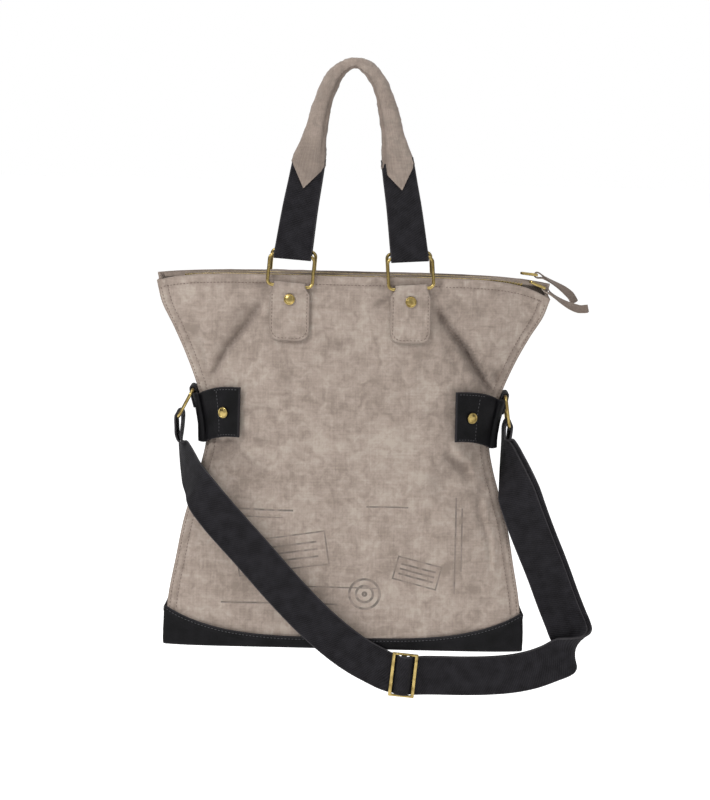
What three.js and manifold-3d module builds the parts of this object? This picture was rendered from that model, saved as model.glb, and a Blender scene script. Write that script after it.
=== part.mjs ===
import * as THREE from "three";
import { mergeVertices } from "three/addons/utils/BufferGeometryUtils.js";
import Module from "manifold-3d";

// A canvas tote that hangs by its two handles. Millimetres, +Z up, front towards -Y.
// The origin is the point under the top of the grips that the bag hangs from.

// The body
const HANG_DROP = 554; // from the hanging point down to the underside of the base
const BODY_HEIGHT = 358; // from the underside of the base up to the lips
const BASE_WIDTH = 342;
const BASE_DEPTH = 100;
const CANVAS = 1.6;
const LEFT_DROOP = 10; // how far the ends of the lips hang below their middle
const RIGHT_DROOP = 20;
const REAR_DROOP = 0.3; // the divider and the rear lip droop this much as far as the front one
const TOP_SHIFT = 3; // the top leans this far to the right
const GAP = 0.3; // clearance between neighbouring pieces
const LOOP_EASE = 0.75; // clearance of a folded strip round its bar

// The leather foot and the mat sleeve
const LEATHER = 2;
const BASE_PLATE = 3;
const BOOT_CORNER = 37; // height of the boot at the corners
const BOOT_MIDDLE = 11; // and in the middle
const BOOT_EASE = 0.5; // clearance of the boot round the canvas
const SLEEVE_RADIUS = 57;
const SLEEVE_LENGTH = 205;

// The zips
const TAPE = 1.2;
const TAPE_SINK = 5; // the tapes lie this far below the lips
const CHAIN_WIDTH = 5;
const CHAIN_HEIGHT = 2.4;
const CHAIN_CLEAR = 1; // over the tape, which twists towards its ends
const SLIDER_LENGTH = 17;
const SLIDER_WIDTH = 7.5;
const SLIDER_HEIGHT = 2.4;
const SLIDER_SHIFT = 1.4; // the sliders lie this far out from the middle of their tapes
const EYE_HOLE = 5.5; // window of a slider, and the bar beyond it
const EYE_BAR = 1.3;
const PULL_LENGTH = 46;
const PULL_WIDTH = 8;
const PULL_THICKNESS = 2.9;
const PULL_SPLAY = 0.08; // the pulls drift apart by this share of their length

// Rings, tabs and rivets
const RING_WIDTH = 46;
const RING_HEIGHT = 32.5;
const WIRE = 3.2;
const RING_CORNER = 5;
const RING_TILT = 4; // degrees: the inner end of a handle ring hangs lower
const HANDLE_SPREAD = 115; // between the two rings of one handle
const RING_TAB_WIDTH = 38;
const RING_TAB_LENGTH = 55;
const RING_TAB_CORNER = 8;
const TAB_CANVAS = 1.4;
const BAR_BELOW_LIP = 11; // lower bar of a handle ring, below the lip
const RIVET_DIAMETER = 10.5;
const RIVET_HEIGHT = 2.2;
const RIVET_BELOW_BAR = 12.5;
const RING_TAB_NECK = 30; // width of a tab where it goes round the ring

// Handles
const GRIP_RISE = 5; // top of the grips' middle line above the hanging point
const WEBBING_WIDTH = 36;
const WEBBING = 1.8;
const GRIP_START = 0.475; // shares of the rise from the ring to the top
const GRIP_POINT = 24; // length of the pointed ends
const GRIP_SPREAD = 17; // between the middle lines of the two grips at the top

// Side tabs and shoulder strap
const SIDE_TAB_HEIGHT = 48;
const SIDE_TAB_LEVEL = 226; // middle of the tab above the underside of the base
const SIDE_TAB_REACH = 101; // from the middle of the bag to the tab's inner end
const SIDE_TAB_DROOP = 9; // its outer end hangs this much lower
const SIDE_TAB = 3.4; // thickness of the folded leather band
const SIDE_RIVET_INSET = 15;
const SIDE_RIVET_DROP = 1; // below the middle of the band
const KEEPER_WIDTH = 22;
const KEEPER_LEG = 18;
const LEFT_SWING = 27; // degrees that a side ring hangs out from the vertical
const RIGHT_SWING = 8;
const STRAP_WIDTH = 38;
const STRAP_NECK = 32; // its width where it goes round a ring
const STRAP = 1.8;
const BUCKLE_LENGTH = 25; // along the strap
const BUCKLE_HEIGHT = 43; // and across it
const BUCKLE_SIDE = 2.1; // its two ends across
const BUCKLE_BAR = 3.2;
const BUCKLE_THICKNESS = 3;
const BUCKLE_SLOPE = 5; // degrees
const BUCKLE_X = 0.345; // the slider's middle, in the shares of the strap's tables
const BUCKLE_Y = -1.2;
const BUCKLE_Z = -0.063;
const FOLD_X = 1.265; // where the fold starts, in the same shares
const FOLD_Y = -0.87;
const FOLD_Z = -0.012;
const FOLD_RADIUS = 7; // middle line of the outer layer, where the strap rolls over
const FOLD_AXIS = 71; // degrees from the horizontal of the line that the strap folds about
const FOLD_ENTRY = 27; // and of the strap as it comes to the fold
const TAIL = 34; // sewn end of the strap behind its loop on the left ring
const LAYER_SLIP = 4.5; // the inner layer lies this far to the inside on the rising run

// Bag sections from the base to the lips. Width is a share of half the base width; depth, edge and
// tuck are shares of half the base depth: middle, side seam, and how far the gusset folds in.
const BODY_ROWS = [
  { height: 0, width: 1, depth: 1, edge: 0.9, tuck: 0, square: 9 },
  { height: 0.11, width: 0.994, depth: 1.01, edge: 0.84, tuck: 0.03, square: 8 },
  { height: 0.23, width: 0.953, depth: 1.02, edge: 0.68, tuck: 0.12, square: 6 },
  { height: 0.33, width: 0.915, depth: 1.02, edge: 0.5, tuck: 0.25, square: 5 },
  { height: 0.4, width: 0.874, depth: 1, edge: 0.37, tuck: 0.36, square: 4.6 },
  { height: 0.475, width: 0.829, depth: 0.97, edge: 0.24, tuck: 0.48, square: 4.3 },
  { height: 0.545, width: 0.804, depth: 0.93, edge: 0.18, tuck: 0.52, square: 4.2 },
  { height: 0.62, width: 0.824, depth: 0.9, edge: 0.17, tuck: 0.52, square: 4.2 },
  { height: 0.69, width: 0.862, depth: 0.87, edge: 0.17, tuck: 0.5, square: 3.8 },
  { height: 0.78, width: 0.932, depth: 0.8, edge: 0.16, tuck: 0.42, square: 3.2 },
  { height: 0.86, width: 1.006, depth: 0.73, edge: 0.14, tuck: 0.3, square: 2.7 },
  { height: 0.93, width: 1.075, depth: 0.66, edge: 0.12, tuck: 0.16, square: 2.4 },
  { height: 1, width: 1.11, depth: 0.6, edge: 0.1, tuck: 0.05, square: 2.2 },
];

// The two zips: share of the lip where the chain stops, height of the slider over the lip as a share
// of its own height, first slope of the pull and the change of slope over its length, in degrees.
const ZIP_ROWS = {
  front: { face: -1, end: 0.89, lift: 2.5, slope: 44, bend: -20 },
  rear: { face: 1, end: 0.85, lift: 2, slope: 19, bend: 16 },
};

// Creases of the panels: both ends as shares of half the base width and of the body height,
// depth and half width as shares of half the base depth.
const CREASES = [
  { x0: -0.56, z0: 0.9, x1: -0.76, z1: 0.73, depth: 0.12, reach: 0.3 },
  { x0: 0.57, z0: 0.89, x1: 0.82, z1: 0.69, depth: 0.13, reach: 0.3 },
  { x0: -0.72, z0: 0.53, x1: -0.5, z1: 0.47, depth: 0.08, reach: 0.3 },
  { x0: 0.72, z0: 0.52, x1: 0.52, z1: 0.45, depth: 0.08, reach: 0.3 },
];

// Middle line of a handle leg: share of the rise above the ring's upper bar, share of half the
// handle spread, then the width and thickness of the grip there as shares of the webbing width.
const HANDLE_ROWS = [
  { rise: 0, spread: 0.97, width: 1, thick: 0.2 },
  { rise: 0.24, spread: 0.865, width: 1, thick: 0.2 },
  { rise: 0.36, spread: 0.8, width: 0.95, thick: 0.21 },
  { rise: 0.475, spread: 0.74, width: 0.9, thick: 0.23 },
  { rise: 0.56, spread: 0.69, width: 0.72, thick: 0.33 },
  { rise: 0.64, spread: 0.635, width: 0.6, thick: 0.4 },
  { rise: 0.81, spread: 0.51, width: 0.46, thick: 0.43 },
  { rise: 0.92, spread: 0.36, width: 0.42, thick: 0.43 },
  { rise: 0.98, spread: 0.19, width: 0.34, thick: 0.44 },
  { rise: 1, spread: 0.03, width: 0.29, thick: 0.45 },
];

// Middle line of the shoulder strap's outer layer. x is a share of half the base width, y of half the
// base depth and z of the body height; face is where the strap faces, in degrees round from the
// front: -90 is left, 90 right and 180 back.
const LEFT_RUN = [
  { x: -0.965, y: 0, z: 0.545, face: -90 },
  { x: -0.935, y: -0.06, z: 0.51, face: -78 },
  { x: -0.885, y: -0.5, z: 0.465, face: -48 },
  { x: -0.81, y: -1.1, z: 0.42, face: -16 },
  { x: -0.7, y: -1.28, z: 0.36, face: 0 },
  { x: -0.515, y: -1.26, z: 0.262, face: 0 },
  { x: -0.325, y: -1.24, z: 0.16, face: 0 },
  { x: -0.13, y: -1.26, z: 0.068, face: 0 },
  { x: 0.06, y: -1.18, z: -0.006, face: 0 },
  { x: 0.21, y: -1.12, z: -0.047, face: 0 },
];
const RIGHT_RUN = [
  { x: 0.48, y: -1.08, z: -0.067, face: 0 },
  { x: 0.72, y: -1, z: -0.069, face: 0 },
  { x: 0.95, y: -0.92, z: -0.064, face: 0 },
  { x: 1.12, y: -0.88, z: -0.045, face: 0 },
];
const RISING_RUN = [
  { x: 1.235, y: -0.48, z: 0.13, face: 180 },
  { x: 1.165, y: -0.56, z: 0.215, face: 180 },
  { x: 1.05, y: -0.74, z: 0.345, face: 178 },
  { x: 0.982, y: -0.73, z: 0.435, face: 162 },
  { x: 0.94, y: -0.28, z: 0.5, face: 125 },
  { x: 0.918, y: 0, z: 0.55, face: 92 },
];

const FLOOR = -HANG_DROP; // height of the underside of the base
const LIP = FLOOR + BODY_HEIGHT;
const PANEL_FOOT = BASE_PLATE + GAP;

const washedCanvas = new THREE.MeshStandardMaterial({ color: "#a5988d", roughness: 0.9 });
const blackLeather = new THREE.MeshStandardMaterial({ color: "#26262a", roughness: 0.6 });
const blackWebbing = new THREE.MeshStandardMaterial({ color: "#232224", roughness: 0.85 });
const agedBrass = new THREE.MeshStandardMaterial({ color: "#b39a55", roughness: 0.35, metalness: 1 });
const zipCloth = new THREE.MeshStandardMaterial({ color: "#3b3531", roughness: 0.9 });

const bag = new THREE.Group();

function addPiece(name, geometry, material) {
  const mesh = new THREE.Mesh(geometry, material);
  mesh.name = name;
  bag.add(mesh);
  return mesh;
}

function vec(x, y, z) {
  return new THREE.Vector3(x, y, z);
}

function span(from, to, count) {
  return Array.from({ length: count + 1 }, (_, i) => from + ((to - from) * i) / count);
}

// A smooth curve through the rows of a table, read at a value of its first column.
function tableCurve(rows) {
  const [key, ...names] = Object.keys(rows[0]);
  const values = rows.flatMap((row) => names.map((name) => row[name]));
  const curve = new THREE.CubicInterpolant(
    rows.map((row) => row[key]),
    values,
    names.length,
  );
  return (at) => {
    const found = curve.evaluate(THREE.MathUtils.clamp(at, 0, 1));
    return Object.fromEntries(names.map((name, i) => [name, found[i]]));
  };
}

// A closed wall on a grid of points, from one distance along its normal to another.
function sheet(grid, from, to, wrap = false) {
  const rows = grid.length;
  const columns = grid[0].length;
  const columnAt = (j) => (wrap ? (j + columns) % columns : THREE.MathUtils.clamp(j, 0, columns - 1));
  const rowAt = (i) => THREE.MathUtils.clamp(i, 0, rows - 1);
  const positions = [];
  for (const distance of [from, to]) {
    for (let i = 0; i < rows; i += 1) {
      for (let j = 0; j < columns; j += 1) {
        const across = vec().subVectors(grid[i][columnAt(j + 1)], grid[i][columnAt(j - 1)]);
        const along = vec().subVectors(grid[rowAt(i + 1)][j], grid[rowAt(i - 1)][j]);
        const normal = across.cross(along).normalize();
        positions.push(...vec().addVectors(grid[i][j], normal.multiplyScalar(distance)).toArray());
      }
    }
  }
  const at = (face, i, j) => face * rows * columns + i * columns + columnAt(j);
  const index = [];
  const quad = (a, b, c, d) => index.push(a, b, c, a, c, d);
  const lastColumn = wrap ? columns : columns - 1;
  for (let i = 0; i < rows - 1; i += 1) {
    for (let j = 0; j < lastColumn; j += 1) {
      quad(at(1, i, j), at(1, i, j + 1), at(1, i + 1, j + 1), at(1, i + 1, j));
      quad(at(0, i, j), at(0, i + 1, j), at(0, i + 1, j + 1), at(0, i, j + 1));
    }
    if (!wrap) {
      quad(at(0, i, 0), at(1, i, 0), at(1, i + 1, 0), at(0, i + 1, 0));
      quad(at(1, i, lastColumn), at(0, i, lastColumn), at(0, i + 1, lastColumn), at(1, i + 1, lastColumn));
    }
  }
  for (let j = 0; j < lastColumn; j += 1) {
    quad(at(0, 0, j), at(0, 0, j + 1), at(1, 0, j + 1), at(1, 0, j));
    quad(at(1, rows - 1, j), at(1, rows - 1, j + 1), at(0, rows - 1, j + 1), at(0, rows - 1, j));
  }
  return meshOf(positions, index);
}

function meshOf(positions, index) {
  const geometry = new THREE.BufferGeometry();
  geometry.setAttribute("position", new THREE.Float32BufferAttribute(positions, 3));
  geometry.setIndex(index);
  geometry.computeVertexNormals();
  return geometry;
}

// A skin through closed sections, capped at both ends, or joined end to start.
function loft(sections, loop = false) {
  const count = sections[0].length;
  const positions = sections.flat().flatMap((point) => point.toArray());
  const index = [];
  const last = loop ? sections.length : sections.length - 1;
  for (let i = 0; i < last; i += 1) {
    const here = i * count;
    const next = ((i + 1) % sections.length) * count;
    for (let j = 0; j < count; j += 1) {
      const k = (j + 1) % count;
      index.push(here + j, here + k, next + k, here + j, next + k, next + j);
    }
  }
  if (!loop) {
    const end = (sections.length - 1) * count;
    for (let j = 1; j < count - 1; j += 1) {
      index.push(0, j + 1, j, end, end + j, end + j + 1);
    }
  }
  return meshOf(positions, index);
}

const { Manifold, Mesh: SolidMesh } = await loadManifold();

async function loadManifold() {
  const wasm = await Module();
  wasm.setup();
  return wasm;
}

function solidOf(geometry) {
  const bare = new THREE.BufferGeometry();
  bare.setAttribute("position", geometry.getAttribute("position"));
  bare.setIndex(geometry.index);
  const merged = mergeVertices(bare, 1e-4);
  return new Manifold(
    new SolidMesh({
      numProp: 3,
      vertProperties: merged.attributes.position.array,
      triVerts: new Uint32Array(merged.index.array),
    }),
  );
}

function cut(geometry, tool) {
  const made = solidOf(geometry).subtract(solidOf(tool)).getMesh();
  return meshOf(Array.from(made.vertProperties), Array.from(made.triVerts));
}

// The body's surface

const bodyAt = tableCurve(BODY_ROWS);

function creaseDepth(x, z) {
  return CREASES.reduce((depth, crease) => {
    const start = new THREE.Vector2((crease.x0 * BASE_WIDTH) / 2, crease.z0 * BODY_HEIGHT);
    const end = new THREE.Vector2((crease.x1 * BASE_WIDTH) / 2, crease.z1 * BODY_HEIGHT);
    const way = end.clone().sub(start);
    const spot = new THREE.Vector2(x, z - FLOOR).sub(start);
    const share = THREE.MathUtils.clamp(spot.dot(way) / way.lengthSq(), 0, 1);
    const away = spot.sub(way.multiplyScalar(share)).length() / ((crease.reach * BASE_DEPTH) / 2);
    return depth + ((crease.depth * BASE_DEPTH) / 2) * Math.exp(-away * away * 2);
  }, 0);
}

// face is -1 on the front and 1 on the back; u runs from -1 at the left seam to 1 at the right.
function bodyPoint(face, u, height) {
  const section = bodyAt(height);
  const reach = Math.abs(u);
  const droop = (u < 0 ? LEFT_DROOP : RIGHT_DROOP) * (face < 0 ? 1 : REAR_DROOP) * reach ** 6 * height ** 6;
  const x = (u * section.width * BASE_WIDTH) / 2 + TOP_SHIFT * height ** 3;
  const z = FLOOR + PANEL_FOOT + height * (BODY_HEIGHT - PANEL_FOOT) - droop;
  const share = section.edge + (section.depth - section.edge) * (1 - reach ** section.square);
  const fade = 1 - reach ** 8;
  return vec(x, face * ((share * BASE_DEPTH) / 2 - creaseDepth(x, z) * fade), z);
}

function shareOf(z) {
  return (z - FLOOR - PANEL_FOOT) / (BODY_HEIGHT - PANEL_FOOT);
}

// The point of a panel at a place given by x and z, moved out from it.
function onPanel(face, x, z, out) {
  const height = shareOf(z);
  const half = (bodyAt(height).width * BASE_WIDTH) / 2;
  const u = THREE.MathUtils.clamp((x - TOP_SHIFT * height ** 3) / half, -1, 1);
  const step = 0.02;
  const point = bodyPoint(face, u, height);
  const across = bodyPoint(face, u + step, height).sub(bodyPoint(face, u - step, height));
  const up = bodyPoint(face, u, height + step).sub(bodyPoint(face, u, height - step));
  const normal = across.cross(up).normalize().multiplyScalar(-face);
  return { point: vec(x, point.y, z).addScaledVector(normal, out), normal };
}

// One gusset's surface: v runs from -1 at the front seam to 1 at the back seam.
function gussetPoint(side, v, height) {
  const section = bodyAt(height);
  const seam = bodyPoint(-1, side, height);
  const tuck = (section.tuck * BASE_DEPTH) / 2;
  const z = THREE.MathUtils.lerp(seam.z, bodyPoint(1, side, height).z, (v + 1) / 2);
  return vec(seam.x - side * tuck * (1 - v * v), (v * section.edge * BASE_DEPTH) / 2, z);
}

const PANEL_COLUMNS = 16;
const PANEL_ROWS = 15;

// Shares of a panel's half width, closer towards the seams.
function panelShares() {
  const lean = 2.4;
  return span(-1, 1, PANEL_COLUMNS).map((u) => Math.sin((u * Math.PI) / lean) / Math.sin(Math.PI / lean));
}

function makePanel(face) {
  const grid = span(0, 1, PANEL_ROWS).map((height) => panelShares().map((u) => bodyPoint(face, u, height)));
  return face < 0 ? sheet(grid, -CANVAS, 0) : sheet(grid, 0, CANVAS);
}

// A gusset runs just inside the two panels' seams.
function makeGusset(side) {
  const inset = 2 * (CANVAS + GAP);
  const grid = span(0, 1, PANEL_ROWS).map((height) =>
    span(-1, 1, 6).map((v) => {
      const point = gussetPoint(side, v, height);
      const half = (bodyAt(height).edge * BASE_DEPTH) / 2;
      return vec(point.x, v * Math.max(half - inset, CANVAS / 2), point.z);
    }),
  );
  return side > 0 ? sheet(grid, -CANVAS, 0) : sheet(grid, 0, CANVAS);
}

// The wall between the two compartments, held at the tips of the gussets.
function makeDivider() {
  const grid = span(0, 1, PANEL_ROWS).map((height) => {
    const ends = [-1, 1].map((side) => {
      const tip = gussetPoint(side, 0, height);
      return vec(tip.x - side * 2 * (CANVAS + GAP), 0, tip.z);
    });
    return span(0, 1, 6).map((share) => {
      const u = 2 * share - 1;
      const point = vec().lerpVectors(ends[0], ends[1], share);
      return point.setZ(bodyPoint(1, u, height).z);
    });
  });
  return sheet(grid, -CANVAS / 2, CANVAS / 2);
}

// The leather foot

function bootTop(x, half) {
  return BOOT_MIDDLE + (BOOT_CORNER - BOOT_MIDDLE) * Math.min(Math.abs(x) / half, 1) ** 3.5;
}

// Points round the bag at a height, anticlockwise seen from above, from the front's left seam.
function outline(height) {
  const across = panelShares();
  const sides = span(-1, 1, 4).slice(1, -1);
  return [
    ...across.map((u) => bodyPoint(-1, u, height)),
    ...sides.map((v) => gussetPoint(1, v, height)),
    ...across.map((u) => bodyPoint(1, -u, height)),
    ...sides.map((v) => gussetPoint(-1, -v, height)),
  ];
}

function makeBootWall() {
  const foot = outline(0);
  const half = BASE_WIDTH / 2;
  const grid = span(0, 1, 3).map((share) =>
    foot.map((point, i) => {
      const z = FLOOR + share * bootTop(point.x, half);
      const spot = outline(Math.max(shareOf(z), 0))[i];
      return vec(spot.x, spot.y, z);
    }),
  );
  return sheet(grid, BOOT_EASE, BOOT_EASE + LEATHER, true);
}

function makeBasePanel() {
  const shape = new THREE.Shape(outline(0).map((point) => new THREE.Vector2(point.x, point.y)));
  const plate = new THREE.ExtrudeGeometry(shape, { depth: BASE_PLATE, bevelEnabled: false });
  return mergedGeometry(plate).translate(0, 0, FLOOR);
}

function mergedGeometry(geometry) {
  geometry.deleteAttribute("normal");
  geometry.deleteAttribute("uv");
  return mergeVertices(geometry, 1e-4);
}

// The mat sleeve: sewn flap on the boot, round the roll, and up to a flap on the back panel.
function makeMatSleeve() {
  const seamY = BASE_DEPTH / 2 + BOOT_EASE + LEATHER + CANVAS + 2 * GAP;
  const centreY = seamY + SLEEVE_RADIUS + CANVAS;
  const centreZ = FLOOR + SLEEVE_RADIUS + 1;
  const leave = 80; // the sheet leaves the roll at this angle, in degrees
  const seamRise = (centreY - seamY) * Math.tan(THREE.MathUtils.degToRad(90 - leave));
  const upperSeam = centreZ + SLEEVE_RADIUS + seamRise;
  const flap = 12;
  const grid = span(-SLEEVE_LENGTH / 2, SLEEVE_LENGTH / 2, 6).map((x) => [
    vec(x, seamY, FLOOR + BOOT_MIDDLE * 0.9),
    vec(x, seamY, FLOOR + BOOT_MIDDLE * 0.45),
    vec(x, seamY + BOOT_MIDDLE, FLOOR + BOOT_MIDDLE * 0.4),
    ...span(245, 360 + leave, 11).map((degrees) => {
      const angle = THREE.MathUtils.degToRad(degrees);
      return vec(x, centreY + SLEEVE_RADIUS * Math.cos(angle), centreZ + SLEEVE_RADIUS * Math.sin(angle));
    }),
    onPanel(1, x, upperSeam, 5 * GAP).point,
    onPanel(1, x, upperSeam + flap, 3 * GAP).point,
  ]);
  return sheet(grid, 0, CANVAS);
}

// Zips. Each tape spans from one lip to the divider.

function tapeLine(face, u) {
  const height = 1 - TAPE_SINK / BODY_HEIGHT;
  const lip = bodyPoint(face, u, height);
  const outer = vec(lip.x, face * Math.max(Math.abs(lip.y) - CANVAS - 5 * GAP, 1.5 * CANVAS), lip.z);
  const inner = vec(lip.x, face * (CANVAS / 2 + GAP), bodyPoint(1, u, height).z);
  return { outer, inner, top: bodyPoint(face, u, 1) };
}

function makeTape(face) {
  const grid = panelShares().slice(1, -1).map((u) => {
    const { outer, inner } = tapeLine(face, u);
    return [outer, inner];
  });
  return layer(grid, face, 0, TAPE);
}

// A flat layer over a grid that runs from the lip to the divider, from one height to another.
function layer(grid, face, low, high) {
  return face < 0 ? sheet(grid, -high, -low) : sheet(grid, low, high);
}

function makeChain({ face, end }) {
  const shares = panelShares().slice(2).filter((u) => u < end);
  const grid = shares.map((u) => {
    const { outer, inner } = tapeLine(face, u);
    const share = Math.min(CHAIN_WIDTH / outer.distanceTo(inner), 0.8) / 2;
    return [0.5 - share, 0.5 + share].map((across) => outer.clone().lerp(inner, across));
  });
  return layer(grid, face, TAPE + CHAIN_CLEAR, TAPE + CHAIN_CLEAR + CHAIN_HEIGHT);
}

// A slider from above: a rounded body with a window, whose far bar holds the pull.
function sliderShape() {
  const half = SLIDER_WIDTH / 2;
  const window = half - EYE_BAR;
  const shape = new THREE.Shape();
  shape.moveTo(SLIDER_LENGTH, -half);
  shape.lineTo(SLIDER_LENGTH, half);
  shape.lineTo(half, half);
  shape.absarc(half, 0, half, Math.PI / 2, (Math.PI * 3) / 2, false);
  const hole = new THREE.Path();
  hole.moveTo(SLIDER_LENGTH - EYE_BAR, -window);
  hole.lineTo(SLIDER_LENGTH - EYE_BAR - EYE_HOLE, -window);
  hole.lineTo(SLIDER_LENGTH - EYE_BAR - EYE_HOLE, window);
  hole.lineTo(SLIDER_LENGTH - EYE_BAR, window);
  shape.holes.push(hole);
  return shape;
}

// Where a slider stands: on the lips' ends, sloping with them.
function sliderSeat({ face, end, lift }) {
  const start = tapeLine(face, end);
  const next = tapeLine(face, end + 0.06);
  const slope = Math.atan2(next.top.z - start.top.z, next.top.x - start.top.x);
  const middle = (start.outer.y + start.inner.y) / 2 + face * SLIDER_SHIFT;
  const at = vec(start.outer.x + GAP, middle, start.top.z + lift * SLIDER_HEIGHT);
  return { at, slope };
}

function makeSlider(zip) {
  const seat = sliderSeat(zip);
  const body = new THREE.ExtrudeGeometry(sliderShape(), {
    depth: SLIDER_HEIGHT,
    bevelEnabled: false,
    curveSegments: 5,
  });
  return mergedGeometry(body.rotateY(-seat.slope)).translate(seat.at.x, seat.at.y, seat.at.z);
}

// A strip folded round a bar. The profile runs from the end of the inner leg, round the bar, to the
// end of the outer leg, as distances along the strip from the bar and out from it.
function loopProfile({ length, thickness, bar, inner, outer }) {
  const radius = bar + LOOP_EASE + thickness / 2;
  const neck = 2.6 * radius;
  const ends = [length, length - RING_TAB_CORNER / 3, length - RING_TAB_CORNER].filter((s) => s > neck);
  const legs = (out) => ends.map((s) => ({ s, out }));
  return [
    ...legs(inner),
    { s: neck, out: inner },
    { s: 0, out: -radius },
    ...[30, 60, 90, 120, 150].map((degrees) => {
      const angle = THREE.MathUtils.degToRad(degrees);
      return { s: -radius * Math.sin(angle), out: -radius * Math.cos(angle) };
    }),
    { s: 0, out: radius },
    { s: neck, out: outer },
    ...legs(outer).reverse(),
  ];
}

// place(s, across, out) gives the point of a strip; widthAt(s) its width.
function makeLoop(profile, thickness, widthAt, place, columns = 2) {
  const grid = profile.map(({ s, out }) =>
    span(-0.5, 0.5, columns).map((share) => place(s, share * widthAt(s), out)),
  );
  return sheet(grid, -thickness / 2, thickness / 2);
}

function roundedEnd(width, length, corner) {
  return (s) => {
    const over = THREE.MathUtils.clamp(s - (length - corner), 0, corner);
    return width - 2 * (corner - Math.sqrt(corner * corner - over * over));
  };
}

const PULL_STRIP = (PULL_THICKNESS - GAP) / 2;

function makePull(zip) {
  const seat = sliderSeat(zip);
  const eye = vec(SLIDER_LENGTH - EYE_BAR / 2, 0, SLIDER_HEIGHT / 2).applyAxisAngle(vec(0, 1, 0), -seat.slope);
  const start = seat.at.clone().add(eye);
  const place = (s, across, out) => {
    const share = Math.max(s, 0) / PULL_LENGTH;
    const angle = THREE.MathUtils.degToRad(zip.slope + zip.bend * share * share);
    const x = start.x + s * Math.cos(angle) + out * Math.sin(angle);
    const z = start.z - s * Math.sin(angle) + out * Math.cos(angle);
    return vec(x, start.y + across + zip.face * PULL_SPLAY * Math.max(s, 0), z);
  };
  const leg = (PULL_STRIP + GAP) / 2;
  const bar = SLIDER_HEIGHT / 2;
  const profile = loopProfile({ length: PULL_LENGTH, thickness: PULL_STRIP, bar, inner: -leg, outer: leg });
  const widthAt = (s) => (s > 3 ? PULL_WIDTH : SLIDER_WIDTH - 2 * EYE_BAR - 2 * GAP);
  return makeLoop(profile, PULL_STRIP, widthAt, place, 1);
}

// Rings, their tabs and rivets

// A wire bent to a rounded rectangle. width and height are its two axes, as unit vectors.
function makeRing(centre, width, height) {
  const halfWidth = (RING_WIDTH - WIRE) / 2;
  const halfHeight = (RING_HEIGHT - WIRE) / 2;
  const normal = vec().crossVectors(width, height);
  const corners = [[1, 1, 0], [-1, 1, 90], [-1, -1, 180], [1, -1, 270]];
  const sections = corners.flatMap(([x, z, start]) =>
    span(start, start + 90, 3).map((degrees) => {
      const angle = THREE.MathUtils.degToRad(degrees);
      const radial = width.clone().multiplyScalar(Math.cos(angle)).addScaledVector(height, Math.sin(angle));
      const middle = centre.clone()
        .addScaledVector(width, x * (halfWidth - RING_CORNER))
        .addScaledVector(height, z * (halfHeight - RING_CORNER))
        .addScaledVector(radial, RING_CORNER);
      return span(0, 360, 6).slice(0, -1).map((turn) => {
        const round = THREE.MathUtils.degToRad(turn);
        return middle.clone()
          .addScaledVector(radial, (WIRE / 2) * Math.cos(round))
          .addScaledVector(normal, (-WIRE / 2) * Math.sin(round));
      });
    }),
  );
  return loft(sections, true);
}

function addRivet(name, point, normal) {
  const radius = RIVET_DIAMETER / 2;
  const profile = [
    [0, 0], [radius, 0], [radius, RIVET_HEIGHT * 0.4], [radius * 0.75, RIVET_HEIGHT * 0.85], [0, RIVET_HEIGHT],
  ];
  const head = new THREE.LatheGeometry(profile.map(([x, y]) => new THREE.Vector2(x, y)), 12);
  const mesh = addPiece(name, mergedGeometry(head), agedBrass);
  mesh.quaternion.setFromUnitVectors(vec(0, 1, 0), normal);
  mesh.position.copy(point);
}

const TAB_BAR = WIRE / 2 + LOOP_EASE + TAB_CANVAS / 2; // from the bar's middle to the tab's middle
const TAB_LIFT = 1.5; // the tab leaves the curved panel to go round the straight bar
const TAB_OUT = GAP + TAB_CANVAS / 2 + TAB_BAR + TAB_LIFT; // from the panel to the bar's middle
const BAR_LEVEL = LIP - BAR_BELOW_LIP;
const TAB_LENGTH_BELOW = RING_TAB_LENGTH - TAB_BAR - TAB_CANVAS / 2;

const TAB_SETTLE = 7; // below the bar the tab lies on the panel again

function makeRingTab(face, middle) {
  const inner = -TAB_BAR - TAB_LIFT;
  const outer = inner + TAB_CANVAS + GAP;
  const profile = loopProfile({
    length: TAB_LENGTH_BELOW, thickness: TAB_CANVAS, bar: WIRE / 2, inner, outer,
  });
  const ring = handleRing(face, middle);
  const place = (s, across, out) => {
    const seated = onPanel(face, middle + across, BAR_LEVEL - s, TAB_OUT + out).point;
    const straight = ring.lower.clone()
      .addScaledVector(ring.width, across)
      .addScaledVector(ring.height, -s)
      .addScaledVector(ring.out, out);
    return straight.lerp(seated, THREE.MathUtils.smoothstep(s, 0, TAB_SETTLE));
  };
  const rounded = roundedEnd(RING_TAB_WIDTH, TAB_LENGTH_BELOW, RING_TAB_CORNER);
  const widthAt = (s) => (s > 0 ? rounded(s) : RING_TAB_NECK);
  return makeLoop(profile, TAB_CANVAS, widthAt, place, 4);
}

// The ring of a handle: its lower bar lies in the tab, and it leans in with the handle.
function handleRing(face, middle) {
  const lower = onPanel(face, middle, BAR_LEVEL, TAB_OUT).point;
  const lean = (Math.abs(lower.y) - GRIP_SPREAD / 2) / (GRIP_RISE - lower.z);
  const tilt = THREE.MathUtils.degToRad(RING_TILT) * Math.sign(middle);
  const width = vec(Math.cos(tilt), 0, Math.sin(tilt));
  const height = vec(-Math.sin(tilt), -face * lean, Math.cos(tilt)).normalize();
  const out = vec().crossVectors(height, width).multiplyScalar(-1).normalize().multiplyScalar(-face);
  const upper = lower.clone().addScaledVector(height, RING_HEIGHT - WIRE);
  return { centre: vec().addVectors(lower, upper).divideScalar(2), lower, upper, width, height, out };
}

// Handles

const handleAt = tableCurve(HANDLE_ROWS);

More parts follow.
